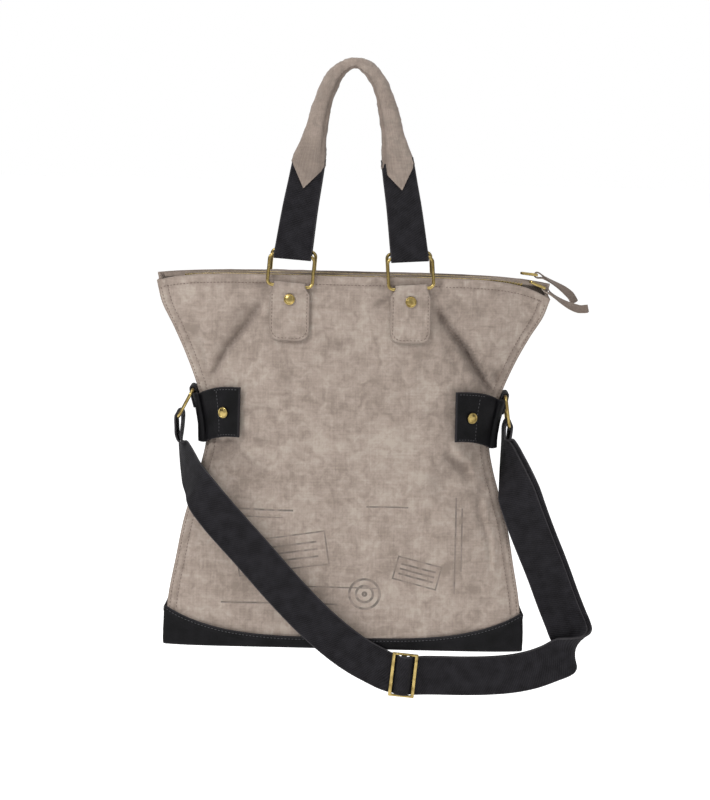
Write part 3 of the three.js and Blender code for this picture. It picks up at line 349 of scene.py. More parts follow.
def put_uv(mesh, values):
    corners = np.empty(len(mesh.loops), int)
    mesh.loops.foreach_get("vertex_index", corners)
    layer = mesh.uv_layers.new(name="cloth")
    layer.data.foreach_set("uv", values[corners].ravel().astype(np.float32))


def put_attribute(mesh, name, values, copies=1):
    if values is None:
        return
    layer = mesh.attributes.new(name, "FLOAT", "POINT")
    layer.data.foreach_set("value", np.tile(np.asarray(values, float).ravel(), copies).astype(np.float32))


def finish_piece(obj, material, slot, *nodes, sharp=38):
    """Gives a made piece its finish and its body, and hides the solids that it stands for."""
    obj.data.materials.clear()
    obj.data.materials.append(material)
    obj.data.polygons.foreach_set("use_smooth", [True] * len(obj.data.polygons))
    obj.data.set_sharp_from_angle(angle=radians(sharp))
    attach(obj, "root")
    if nodes:
        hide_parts(*nodes)


def fractal(points, size, octaves, shift=0.0):
    """Smooth noise from -1 to 1 at points in mm, with features of a given size."""
    flat = points.reshape(-1, 3) / size + shift
    values = [noise.fractal(Vector(p), 1.0, 2.0, octaves) for p in flat]
    return np.array(values).reshape(points.shape[:-1])


def ridged(points, size, shift=0.0):
    """Noise from 0 to 1 with thin ridges, as small creases in cloth make."""
    return (1 - np.abs(fractal(points, size, 2, shift)) * 2.2).clip(0, 1) ** 3


# Modelling with operators


def only(obj):
    """Selects one object and makes it active."""
    bpy.ops.object.select_all(action="DESELECT")
    obj.select_set(True)
    bpy.context.view_layer.objects.active = obj


@contextmanager
def edit_mode(obj):
    only(obj)
    bpy.ops.object.mode_set(mode="EDIT")
    yield
    bpy.ops.object.mode_set(mode="OBJECT")


def choose_faces(obj, test):
    bpy.ops.mesh.select_mode(type="FACE")
    bpy.ops.mesh.select_all(action="DESELECT")
    mesh = bmesh.from_edit_mesh(obj.data)
    for face in mesh.faces:
        face.select_set(bool(test(face)))
    bmesh.update_edit_mesh(obj.data)


def bevel_edges(obj, width, segments, angle=50):
    """Rounds the edges that turn by more than an angle, over a width in mm."""
    only(obj)
    modifier = obj.modifiers.new("Bevel", "BEVEL")
    modifier.width, modifier.segments = width * MM, segments
    modifier.limit_method, modifier.angle_limit = "ANGLE", radians(angle)
    bpy.ops.object.modifier_apply(modifier=modifier.name)


# Vertices of a solid that lie closer than this, in metres, are one
SAME_PLACE = 1e-5


def merged_copy(node, name):
    """A new object with a solid's shape, its doubles merged and its flat triangles joined."""
    mesh = NODES[node].data.copy()
    shape = bmesh.new()
    shape.from_mesh(mesh)
    bmesh.ops.remove_doubles(shape, verts=shape.verts, dist=SAME_PLACE)
    bmesh.ops.dissolve_limit(shape, angle_limit=radians(1), verts=shape.verts, edges=shape.edges)
    shape.to_mesh(mesh)
    shape.free()
    return add_object(name, mesh)


def place_copy(master, name, matrix):
    """A copy of a master piece with its own mesh, set in place in its mesh."""
    mesh = master.data.copy()
    mesh.transform(matrix)
    return add_object(name, mesh)


def frame_of(x, y, z, place):
    """The matrix that takes a master's axes and origin to three directions and a place."""
    matrix = np.eye(4)
    matrix[:3] = np.stack([x, y, z, place], axis=1)
    return matrix


def pose_of(node, outwards):
    """Matrix of a solid's middle and its long, middle and short axes, the short one facing outwards.

    With it comes how far the solid reaches inwards from its middle, a negative length in metres.
    """
    points = np.array([v.co[:] for v in NODES[node].data.vertices])
    points = np.unique(points.round(7), axis=0)
    centre = points.mean(axis=0)
    long, _, short = np.linalg.svd(points - centre, full_matrices=False)[2]
    short = short * (1 if short @ np.array(outwards) > 0 else -1)
    matrix = frame_of(long, np.cross(short, long), short, centre)
    return Matrix(matrix.tolist()), ((points - centre) @ short).min()


def scatter(name, template, frames):
    """One mesh of many copies of a small one."""
    spots = np.array([v.co[:] for v in template.vertices])
    faces = [list(p.vertices) for p in template.polygons]
    points, index = [], []
    for number, matrix in enumerate(frames):
        m = np.array(matrix)
        points.append(spots @ m[:3, :3].T + m[:3, 3])
        index += [[v + number * len(spots) for v in face] for face in faces]
    mesh = bpy.data.meshes.new(name)
    mesh.from_pydata(np.concatenate(points).tolist(), [], index)
    mesh.update()
    return add_object(name, mesh)


# Strips: the stations of a solid are read ring by ring, then made anew as finer cloth

Strip = namedtuple("Strip", "middles through thickness")


def stations_from(near, ring):
    """Stations of vertices from one end of a strip to the other, or None when they don't match."""
    stations, seen = [set(ring)], set(ring)
    while True:
        ring = set().union(*(near[v] for v in stations[-1])) - seen
        if not ring:
            return stations if len(seen) == len(near) else None
        if len(ring) != len(stations[0]):
            return None
        seen |= ring
        stations.append(ring)


def read_strip(node, start=None):
    """Middle points of a strip's columns at each station, and the directions through it.

    start picks the vertices of its first station from an array of points in mm. Without it the strip
    has four vertices to a station, and the first pair of triangles that closes an end is taken.
    """
    shape = bmesh.new()
    shape.from_mesh(NODES[node].data)
    bmesh.ops.remove_doubles(shape, verts=shape.verts, dist=SAME_PLACE)
    shape.verts.ensure_lookup_table()
    points = np.array([v.co[:] for v in shape.verts]) / MM
    near = [{e.other_vert(v).index for e in v.link_edges} for v in shape.verts]
    if start:
        ends = [[int(i) for i in start(points)]]
    else:
        ends = [sorted({v.index for f in e.link_faces for v in f.verts}) for e in shape.edges]
    shape.free()
    stations = next((found for found in (stations_from(near, end) for end in ends) if found), None)
    if stations is None:
        raise RuntimeError(f"{node}: no end found to walk from")
    middles, through = [], []
    before = None
    for ring in stations:
        left = sorted(ring)
        pairs = []
        while left:
            first = left.pop(0)
            other = min(left, key=lambda i: np.linalg.norm(points[i] - points[first]))
            left.remove(other)
            pairs.append((first, other))
        centres = np.array([(points[a] + points[b]) / 2 for a, b in pairs])
        ways = np.array([points[b] - points[a] for a, b in pairs])
        if before is None:
            before = (unit(centres[-1] - centres[0]), ways[0])
        order = np.argsort((centres - centres.mean(axis=0)) @ before[0])
        centres, ways = centres[order], ways[order]
        for k in range(len(ways)):
            if ways[k] @ before[1] < 0:
                ways[k] = -ways[k]
        before = (unit(centres[-1] - centres[0]), ways.mean(axis=0))
        middles.append(centres)
        through.append(ways)
    middles, through = np.array(middles), np.array(through)
    return Strip(middles, through, float(np.median(np.linalg.norm(through, axis=-1))))


def with_more_stations(middles, longest):
    """The same stations with more between those that lie further apart than a length."""
    filled = [middles[0]]
    for before, after in zip(middles[:-1], middles[1:]):
        parts = max(int(np.ceil(np.linalg.norm(after - before, axis=-1).max() / longest)), 1)
        filled += [before + (after - before) * k / parts for k in range(1, parts + 1)]
    return np.array(filled)


def cloth_of(strip, name, step, across, shape=None, relief=None, straight=False):
    """A fine sheet through a strip's stations: step is in mm along it, and across counts its columns.

    shape(share) gives the thickness as a share of the whole, and relief(points, along, share, rim) the
    distance in mm that the surface is moved along its normal. straight keeps long runs between two
    stations from swelling.
    """
    if straight:
        strip = strip._replace(middles=with_more_stations(strip.middles, 4))
    columns = strip.middles.shape[1]
    along = lengths_along(strip.middles.mean(axis=1))
    flat = strip.middles.reshape(len(along), -1)
    curve = smooth_table(np.column_stack([along, flat]))
    rows = with_rims(0, along[-1], max(int(along[-1] / step), 4), 0.5)
    lines = curve(rows).reshape(len(rows), columns, 3).transpose(1, 0, 2).reshape(columns, -1)
    width = np.linalg.norm(strip.middles[:, -1] - strip.middles[:, 0], axis=-1).max()
    shares = with_rims(0, 1, across, 0.5 / width)
    wide = smooth_table(np.column_stack([np.linspace(0, 1, columns), lines]))
    grid = wide(shares).reshape(len(shares), len(rows), 3).transpose(1, 0, 2)
    if np.cross(grid[1, -1] - grid[1, 0], grid[2, 0] - grid[0, 0]) @ strip.through[0, 0] < 0:
        grid = grid[:, ::-1]
    half = np.linalg.norm(grid[:, -1] - grid[:, 0], axis=-1)[:, None] / 2
    side = (shares - 0.5)[None, :] * 2 * half
    ends = np.minimum(rows, rows[-1] - rows)[:, None]
    rim = np.minimum(half - np.abs(side), ends)
    uv = np.stack([side * MM, np.broadcast_to(rows[:, None], side.shape) * MM], -1)
    if relief is not None:
        moved = relief(grid, rows[:, None], shares[None, :], rim)
        grid = grid + grid_normals(grid, False) * moved[..., None]
    half_thick = strip.thickness / 2 * (np.ones(len(shares)) if shape is None else shape(shares))
    return sheet(name, grid, -half_thick, half_thick, uv, rim=rim, rows=rows, columns=shares)


# The body's surface


BODY_AT = smooth_table(BODY_ROWS)


def body_point(face, u, height):
    """Points of a panel: face is -1 on the front, u runs from -1 at the left seam to 1 at the right."""
    width, depth, edge, _, square = np.moveaxis(BODY_AT(height), -1, 0)
    reach = np.abs(u)
    droop = np.where(u < 0, LEFT_DROOP, RIGHT_DROOP) * (1 if face < 0 else REAR_DROOP)
    z = FLOOR + FOOT + height * (BODY_HEIGHT - FOOT) - droop * reach**6 * height**6
    x = u * width * BASE_WIDTH / 2 + TOP_SHIFT * height**3
    share = edge + (depth - edge) * (1 - reach**square)
    return np.stack([x, face * share * BASE_DEPTH / 2, z], -1)


def gusset_point(side, v, height):
    """Points of a gusset: v runs from -1 at the front seam to 1 at the back seam."""
    _, _, edge, tuck, _ = np.moveaxis(BODY_AT(height), -1, 0)
    front, back = body_point(-1, side + 0 * v, height), body_point(1, side + 0 * v, height)
    share = (v + 1) / 2
    z = front[..., 2] * (1 - share) + back[..., 2] * share
    x = front[..., 0] - side * tuck * BASE_DEPTH / 2 * (1 - v * v)
    return np.stack([x, v * edge * BASE_DEPTH / 2, z], -1)


def distance_to(points, x, z):
    """Signed distance of each place to a line of points, and its share of the line's length."""
    points = np.array(points, float)
    total = lengths_along(points)
    best = np.full(x.shape, 1e9)
    share = np.zeros(x.shape)
    sign = np.ones(x.shape)
    for a, b, start in zip(points[:-1], points[1:], total[:-1]):
        way = b - a
        length = np.hypot(*way)
        t = np.clip(((x - a[0]) * way[0] + (z - a[1]) * way[1]) / length**2, 0, 1)
        away = np.hypot(x - a[0] - t * way[0], z - a[1] - t * way[1])
        closer = away < best
        best = np.where(closer, away, best)
        share = np.where(closer, (start + t * length) / total[-1], share)
        cross = way[0] * (z - a[1]) - way[1] * (x - a[0])
        sign = np.where(closer, np.sign(cross), sign)
    return best * sign, share


def fold_depths(x, z, folds):
    """Depth in mm of the folds at each place, with the small roll beside each."""
    depth = np.zeros(x.shape)
    for points, width, deep in folds:
        away, share = distance_to(points, x, z)
        taper = smoothstep(share, 0, 0.2) * (1 - smoothstep(share, 0.66, 1))
        narrow = width * (1.15 - 0.4 * share)
        valley = np.exp(-((away / narrow) ** 2))
        roll = np.exp(-(((away - 1.9 * narrow) / (1.1 * narrow)) ** 2))
        depth += 1.75 * deep * taper * (valley - 0.45 * roll)
    return depth


def crease_depths(x, z):
    depth = np.zeros(x.shape)
    for start, end, deep, width in CREASES:
        away, _ = distance_to((start, end), x, z)
        depth += deep * np.exp(-2 * (away / width) ** 2)
    return depth


def lean_shares(count):
    """Shares of a half width from -1 to 1, closer towards the seams."""
    u = np.linspace(-1, 1, count)
    shares = np.sin(u * pi / 2.4) / np.sin(pi / 2.4)
    return np.concatenate([[-1, -0.997], shares[1:-1], [0.997, 1]])


# Points across and up a panel, and in mm the depth of its hem, the width of its seam allowance and
# the places of the two rows of stitches in from a seam
PANEL_GRID = 130
LIP_HEM = 10
SEAM = 7
SEAM_ROWS = (3, 9.5)


def make_panel(name, face, folds, cloth, material):
    u, height = np.meshgrid(lean_shares(PANEL_GRID), with_rims(0, 1, PANEL_GRID, 0.0018))
    grid = body_point(face, u, height)
    x, z = grid[..., 0], grid[..., 2]
    half = np.abs(body_point(face, np.sign(u + 1e-9), height)[..., 0])
    edge = (1 - np.abs(u)) * half
    below = (1 - height) * (BODY_HEIGHT - FOOT)
    fade = 1 - np.abs(u) ** 8
    creases = crease_depths(x, z) * fade
    folds_here = fold_depths(x, z, folds) * smoothstep(edge, 0, 14)
    shift = 3.7 if face < 0 else 11.3
    swell = fractal(grid, 78, 2, shift) * 1.5 + fractal(grid, 26, 3, shift + 5) * 0.7
    wrinkle = ridged(grid, 34, shift + 9) * 0.8 - 0.25
    wash = smoothstep(edge, 2, 22)
    relief = (swell + wrinkle) * wash * cloth.crumple / (1.5 * MM)
    relief += puckers(grid, edge, below)
    # Under the tabs and the leather bands the canvas lies flat or lower
    tabs = near_box(np.abs(x) - 57.5, z + 230, 21, 30)
    bands = near_box(np.abs(x) - 145, z + 329, 46, 27)
    relief = relief * (1 - np.maximum(tabs, bands)) - 0.5 * np.maximum(tabs, bands)
    hem = (1 - smoothstep(below, LIP_HEM - 1.2, LIP_HEM)) * 0.6
    seam = (1 - smoothstep(edge, SEAM - 1.4, SEAM)) * 0.5
    row = np.exp(-(((edge - SEAM_ROWS[0]) / 0.8) ** 2)) * 0.25
    row += np.exp(-(((below - LIP_HEM + 1.5) / 0.8) ** 2)) * 0.25
    inward = creases + folds_here
    grid[..., 1] += face * (relief + hem + seam - row - inward)
    uv = np.stack([x * MM, z * MM], -1)
    low, high = (-CANVAS, 0) if face < 0 else (0, CANVAS)
    rim = np.minimum(edge, below)
    # Painted shade kept as an attribute: most in the folds and creases, with a darker line where the seam
    # allowances and the lip hem end
    seams = np.exp(-(((edge - 8.2) / 1.3) ** 2)) * 0.5 + np.exp(-(((below - 9.4) / 1.1) ** 2)) * 0.4
    depth = np.clip(folds_here / 6 + creases / 16 + seams, 0, 1)
    made = sheet(
        f"{name}_canvas", grid, low, high, uv, rim=rim, fold_and_shade=depth, outer=-face,
        rows=height[:, 0], columns=u[0],
    )
    finish_piece(made.obj, material, "canvas", name)
    return made


def near_box(x, z, half_x, half_z):
    """1 inside a box and 0 outside, with a soft border of a few mm."""
    away = np.maximum(np.abs(x) - half_x, np.abs(z) - half_z)
    return 1 - smoothstep(away, 0, 6)


def puckers(grid, edge, below):
    """The small waves that a row of stitches draws along a seam and a lip."""
    wave = fractal(grid * np.array([0.35, 1, 1]), 9, 1, 21.3)
    side = np.exp(-(((edge - 9) / 5) ** 2)) * 0.7
    lip = np.exp(-(((below - 12) / 5) ** 2)) * 0.35
    return wave * (side + lip)


def make_gusset(name, side, material):
    v, height = np.meshgrid(with_rims(-1, 1, 44, 0.02), with_rims(0, 1, 110, 0.0018))
    grid = gusset_point(side, v, height)
    edge = BODY_AT(height)[..., 2] * BASE_DEPTH / 2
    half = np.maximum(edge - CANVAS - GAP / 2, CANVAS / 2)
    grid[..., 1] = v * half
    swell = fractal(grid, 30, 3, 2.1 + side) * 1.1 * (1 - v * v) * smoothstep(half, 6, 26)
    # A crease down the gusset's middle, pressed inwards; the same values are kept as painted shade along it
    fold_and_shade = np.exp(-((v / 0.12) ** 2)) * smoothstep(height, 0.25, 0.6) * 0.8
    grid[..., 0] -= side * (np.abs(swell) + fold_and_shade)
    uv = np.stack([v * half * MM, grid[..., 2] * MM], -1)
    low, high = (-CANVAS, 0) if side > 0 else (0, CANVAS)
    rim = np.minimum((1 - np.abs(v)) * half, (1 - height) * BODY_HEIGHT)
    made = sheet(
        f"{name}_canvas", grid, low, high, uv, rim=rim, fold_and_shade=np.clip(fold_and_shade, 0, 1), outer=side,
        rows=height[:, 0], columns=v[0],
    )
    finish_piece(made.obj, material, "canvas", name)
    return made


def make_divider(material):
    share, height = np.meshgrid(with_rims(0, 1, 60, 0.002), with_rims(0, 1, 60, 0.002))
    ends = [gusset_point(side, 0 * height, height) for side in (-1, 1)]
    inset = 2 * (CANVAS + GAP)
    x = (ends[0][..., 0] + inset) * (1 - share) + (ends[1][..., 0] - inset) * share
    z = body_point(1, 2 * share - 1, height)[..., 2]
    grid = np.stack([x, 0 * x, z], -1)
    uv = np.stack([x * MM, z * MM], -1)
    rim = (1 - height) * BODY_HEIGHT
    half = CANVAS / 2 * np.where(rim < LIP_HEM, 1, 0.8)
    made = sheet("divider_canvas", grid, -half, half, uv, rim=rim, rows=height[:, 0], columns=share[0])
    finish_piece(made.obj, material, "canvas", "divider")
    return made


# The leather foot: how late its top edge sweeps up to the corners, and its stitches' place below it in mm
BOOT_SWEEP = 3.5
BOOT_ROW = 2.6


def make_boot(material):
    across = lean_shares(90)
    sides = np.linspace(-1, 1, 32)[1:-1]
    half = BASE_WIDTH / 2

    def outline(height):
        return np.concatenate([
            body_point(-1, across, height[0]),
            gusset_point(1, sides, height[1]),
            body_point(1, -across, height[2]),
            gusset_point(-1, -sides, height[3]),
        ])

    parts = [len(across), len(sides), len(across), len(sides)]
    cuts = np.cumsum(parts)[:-1]
    foot = outline([0 * across, 0 * sides, 0 * across, 0 * sides])
    tops = BOOT_MIDDLE + (BOOT_CORNER - BOOT_MIDDLE) * np.minimum(np.abs(foot[:, 0]) / half, 1) ** BOOT_SWEEP
    rows = with_rims(0, 1, 20, 0.03)
    grid = []
    for share in rows:
        height = np.maximum((share * tops - FOOT) / (BODY_HEIGHT - FOOT), 0)
        spots = outline(np.split(height, cuts))
        grid.append(np.column_stack([spots[:, 0], spots[:, 1], FLOOR + share * tops]))
    grid = np.array(grid)
    below = (1 - rows)[:, None] * tops[None, :]
    above = rows[:, None] * tops[None, :]
    bead = (1 - smoothstep(below, 4, 5)) * 0.5 - np.exp(-(((below - BOOT_ROW) / 0.7) ** 2)) * 0.3
    wrinkle = (fractal(grid, 26, 3, 31) * 0.9 + ridged(grid, 16, 33) * 0.35) * smoothstep(below, 2, 9)
    normal = grid_normals(grid, True)
    grid = grid + normal * (bead + wrinkle * smoothstep(above, 1, 6) * 0.6 + 0.2)[..., None]
    around = lengths_along(foot)
    uv = np.stack([np.broadcast_to(around, below.shape) * MM, grid[..., 2] * MM], -1)
    made = sheet(
        "boot_wall_leather", grid, BOOT_EASE, BOOT_EASE + LEATHER, uv, rim=np.minimum(below, above),
        wrap=True, rows=rows, columns=np.arange(grid.shape[1]),
    )
    finish_piece(made.obj, material, "leather", "boot_wall")
    return made


def make_base(material):
    base = merged_copy("base_panel", "base_panel_leather")
    bevel_edges(base, 1.2, 3)
    finish_piece(base, material, "leather", "base_panel")


# Grips


def grip_line():
    """The whole front grip from its left end to its right: x, y, z, width and thickness by length."""
    left = np.array(GRIP_ROWS)
    right = left[-2::-1] * np.array([-1, 1, 1, 1, 1])
    rows = np.vstack([left, right])
    return smooth_table(np.column_stack([lengths_along(rows[:, :3]), rows])), lengths_along(rows[:, :3])[-1]


# Points round a grip, its girth in mm, and the angle of the groove along its inner side
GRIP_AROUND = 40
GRIP_GIRTH = 52
GRIP_GROOVE = 0.75


def make_grip(name, face, material):
    """A rolled tube of canvas whose ends open out to pointed flaps over the webbing."""
    line, length = grip_line()
    ends = np.linspace(1, 0, 12)
    stations = [(0.0, -GRIP_POINT * e) for e in ends[:-1]]
    stations += [(s, 0.0) for s in np.linspace(0, length, 190)]
    stations += [(length, GRIP_POINT * e) for e in ends[::-1][1:]]
    angle = np.linspace(0, 2 * pi, GRIP_AROUND, endpoint=False)
    wide = np.sign(np.cos(angle)) * np.abs(np.cos(angle)) ** 0.8
    deep = np.sign(np.sin(angle)) * np.abs(np.sin(angle)) ** 0.8
    points, uv = [], []
    for s, point in stations:
        x, y, z, width, thick = line(s)
        ahead, behind = line(min(s + 1, length))[:3], line(max(s - 1, 0))[:3]
        tangent = unit(ahead - behind)
        across = unit(np.cross(tangent, [0, -1, 0]))
        out = unit(np.cross(across, tangent))
        flat = abs(point) / GRIP_POINT
        thin = thick * (1 - 0.28 * flat)
        middle = np.array([x, y, z])
        ring = (
            middle
            + np.outer(wide * width / 2, across)
            + np.outer(deep * thin / 2, out)
            + np.outer(point * (1 - 0.97 * np.abs(wide)), tangent)
        )
        swell = fractal(ring * np.array([1, 1, 0.4]), 13, 3, 5.5) * 1.2
        swell += ridged(ring * np.array([1, 1, 0.5]), 10, 8.8) * 0.7
        radial = unit(np.outer(wide / width, across) + np.outer(deep / thin, out))
        calm = 1 - 0.7 * flat
        # The canvas closes in a groove along the inner side of the arch
        groove = np.exp(-(((angle - GRIP_GROOVE) / 0.22) ** 2)) * 1.6
        ring = ring + radial * ((swell - groove) * calm)[:, None]
        points.append(ring * np.array([1, -face, 1]))
        around = angle / (2 * pi) * GRIP_GIRTH * MM
        uv.append(np.stack([around, np.full(len(angle), (s + point) * MM)], -1))
    points, uv = np.array(points), np.array(uv)
    count = len(points)
    i, j = np.meshgrid(np.arange(count - 1), np.arange(GRIP_AROUND), indexing="ij")
    i, j = i.ravel(), j.ravel()
    k = (j + 1) % GRIP_AROUND
    here, ahead = i * GRIP_AROUND, (i + 1) * GRIP_AROUND
    quads = np.stack([here + j, ahead + j, ahead + k, here + k], -1)
    if face > 0:
        quads = quads[:, ::-1]
    faces = quads.tolist()
    first = list(range(GRIP_AROUND))
    last = [(count - 1) * GRIP_AROUND + n for n in range(GRIP_AROUND)]
    faces += [first, last[::-1]] if face < 0 else [first[::-1], last]
    obj = mesh_object(name, points.reshape(-1, 3), faces)
    put_uv(obj.data, uv.reshape(-1, 2))
    # Painted shade on the inner side of the arch and in the groove, kept as an attribute
    inner = np.exp(-((np.minimum(angle, 2 * pi - angle) / 0.8) ** 2)) * 0.7
    inner += np.exp(-(((angle - GRIP_GROOVE) / 0.2) ** 2)) * 0.6
    put_attribute(obj.data, "fold_and_shade", np.broadcast_to(inner, points.shape[:2]))
    with edit_mode(obj):
        bpy.ops.mesh.select_all(action="SELECT")
        bpy.ops.mesh.normals_make_consistent(inside=False)
    finish_piece(obj, material, "canvas", f"grip_{'front' if face < 0 else 'rear'}", sharp=60)


# Metal


def new_master(name, add_primitive, **settings):
    """A primitive at its size and place, to be shaped and then copied."""
    bpy.ops.object.select_all(action="DESELECT")
    add_primitive(**settings)
    master = bpy.context.object
    master.name = name
    only(master)
    bpy.ops.object.transform_apply(location=True, rotation=True, scale=True)
    return master


RING_SEGMENTS = 40


def make_ring_master():
    """A wire bent to a rounded rectangle, lying in the XY plane: a torus whose quarters are drawn apart."""
    # Turned by half a segment, so that no vertex lies on the lines where the quarters part
    ring = new_master(
        "ring_master",
        bpy.ops.mesh.primitive_torus_add,
        major_radius=RING_CORNER * MM,
        minor_radius=WIRE / 2 * MM,
        major_segments=RING_SEGMENTS,
        minor_segments=16,
        rotation=(0, 0, pi / RING_SEGMENTS),
    )
    reach = ((RING_WIDTH - WIRE) / 2 - RING_CORNER, (RING_HEIGHT - WIRE) / 2 - RING_CORNER)
    with edit_mode(ring):
        for axis in (0, 1):
            for sign in (-1, 1):
                bpy.ops.mesh.select_mode(type="VERT")
                bpy.ops.mesh.select_all(action="DESELECT")
                mesh = bmesh.from_edit_mesh(ring.data)
                for vertex in mesh.verts:
                    vertex.select_set(vertex.co[axis] * sign > 0)
                bmesh.update_edit_mesh(ring.data)
                move = [0, 0, 0]
                move[axis] = sign * reach[axis] * MM
                bpy.ops.transform.translate(value=move)
        bpy.ops.mesh.select_all(action="SELECT")
        bpy.ops.mesh.normals_make_consistent(inside=False)
    return ring


# Steps of a rivet's head from the rim inwards: inset and lift, in mm
RIVET_STEPS = ((0.45, 0.25), (0.35, 0.0), (0.35, -0.55), (0.6, 0.3), (1.2, 0.35), (1.3, 0.12))


def make_rivet_master():
    """A capped rivet: a rolled rim round a low dome, standing on the XY plane."""
    depth = RIVET_HEIGHT * 0.55 * MM
    head = new_master(
        "rivet_master",
        bpy.ops.mesh.primitive_cylinder_add,
        vertices=36,
        radius=RIVET_RADIUS * MM,
        depth=depth,
        location=(0, 0, depth / 2),
    )
    with edit_mode(head):
        choose_faces(head, lambda face: face.normal.z > 0.9)
        for inset, lift in RIVET_STEPS:
            bpy.ops.mesh.inset(thickness=inset * MM, depth=0)
            bpy.ops.transform.translate(value=(0, 0, lift * MM))
    bevel_edges(head, 0.12, 2, angle=25)
    return head


# A zip tooth in mm: its size, the distance from tooth to tooth, and how far the two rows stand apart
TOOTH_SIZE = (2.9, 1.1, 1.8)
TOOTH_PITCH = 1.35
TOOTH_SHIFT = 0.85


def make_tooth_master():
    """A block with bevelled top and bottom."""
    tooth = new_master("tooth_master", bpy.ops.mesh.primitive_cube_add, size=1)
    tooth.scale = [length * MM for length in TOOTH_SIZE]
    bpy.ops.object.transform_apply(location=True, rotation=True, scale=True)
    with edit_mode(tooth):
        choose_faces(tooth, lambda face: abs(face.normal.z) > 0.9)
        bpy.ops.mesh.bevel(offset=0.25 * MM, segments=1)
    return tooth


def make_stitch_master():
    """A bead of length 1 that each stitch stretches to its own size."""
    return new_master(
        "stitch_master", bpy.ops.mesh.primitive_uv_sphere_add, segments=6, ring_count=4, radius=0.5
    )


def remove(*objects):
    for obj in objects:
        bpy.data.objects.remove(obj)


# Stitches


def surface_at(cloth, row, column):
    """Points and normals of a sheet at values of its rows and columns."""
    i = np.interp(row, cloth.rows, np.arange(len(cloth.rows)))
    j = np.interp(column, cloth.columns, np.arange(len(cloth.columns)))
    i0 = np.minimum(i.astype(int), len(cloth.rows) - 2)
    j0 = np.minimum(j.astype(int), len(cloth.columns) - 2)
    a, b = (i - i0)[:, None], (j - j0)[:, None]

    def mixed(values):
        low = values[i0, j0] * (1 - b) + values[i0, j0 + 1] * b
        high = values[i0 + 1, j0] * (1 - b) + values[i0 + 1, j0 + 1] * b
        return low * (1 - a) + high * a

    return mixed(cloth.points), unit(mixed(cloth.normals))


def outside_of(cloth, row, thickness):
    """The sheet as it is, or read on its other skin when its normals face the bag's middle at a row."""
    middle = cloth.normals.shape[1] // 2
    if cloth.normals[row, middle, 1] * cloth.points[row, middle, 1] > 0:
        return cloth
    return cloth._replace(points=cloth.points - cloth.normals * thickness, normals=-cloth.normals)


def stitch_row(cloth, path, trim):
    """Matrices of the stitches along a path of (row, column) values of a sheet."""
    path = np.array(path, float)
    dense = np.concatenate([np.linspace(a, b, 60) for a, b in zip(path[:-1], path[1:])])
    points, normals = surface_at(cloth, dense[:, 0], dense[:, 1])
    return stitch_frames(points, normals, trim)


def stitch_frames(points, normals, trim):
    """Matrices of the stitches along points in mm."""
    lengths = lengths_along(points)
    pitch, long, thick = trim.stitch_pitch / MM, trim.stitch, trim.stitch_width

    def read(values, s):
        return np.array([np.interp(s, lengths, values[:, k]) for k in range(3)])

    frames = []
    for s in np.arange(pitch / 2, lengths[-1] - pitch / 2, pitch):
        along = unit(read(points, s + 1) - read(points, s - 1))
        side = unit(np.cross(unit(read(normals, s)), along))
        up = np.cross(along, side)
        # A stitch is sunk by a third of its thickness
        place = read(points, s) * MM + up * thick * 0.18
        frames.append(frame_of(along * long, side * thick, up * thick, place))
    return frames


# Materials


def set_inputs(node, inputs):
    """Gives inputs of a node their values, and links those that come as another node's output."""
    for key, value in dict(inputs).items():
        if isinstance(value, bpy.types.NodeSocket):
            node.id_data.links.new(value, node.inputs[key])
        else:
            node.inputs[key].default_value = value


def add_node(tree, kind, inputs=(), output=0, **settings):
    """Adds a shader node with its settings, values and links, and gives one of its outputs."""
    node = tree.nodes.new("ShaderNode" + kind)
    for key, value in settings.items():
        setattr(node, key, value)
    set_inputs(node, inputs)
    return node.outputs[output]


def new_material(name):
    """A material, its Principled shader, and add_node for its tree."""
    material = bpy.data.materials.new(name)
    material.use_nodes = True
    tree = material.node_tree
    return material, tree.nodes["Principled BSDF"], partial(add_node, tree)


def rgba(colour):
    return (*colour, 1.0)


def layered(add, colour, layers):
    """A colour under others: each is laid on by its mask, times the share that it has where that is 1."""
    for mask, share, over in layers:
        amount = add("Math", {0: mask, 1: share}, operation="MULTIPLY")
        colour = add("Mix", {0: amount, 6: colour, 7: over}, 2, data_type="RGBA")
    return colour


# The scale of a wave texture, times the distance in metres between its bands
WAVE_SCALE = 2 * pi / 20


def weave_height(add, cloth_uv, pitch):
    """Height of a plain weave, whose threads cross at right angles, from 0 to 1."""
    threads = {"Vector": cloth_uv, "Scale": WAVE_SCALE / pitch, "Distortion": 0.6, "Detail Scale": 2.0}
    across, along = [add("TexWave", threads, "Fac", bands_direction=way) for way in ("X", "Y")]
    return add("Math", {0: across, 1: along}, operation="MULTIPLY")


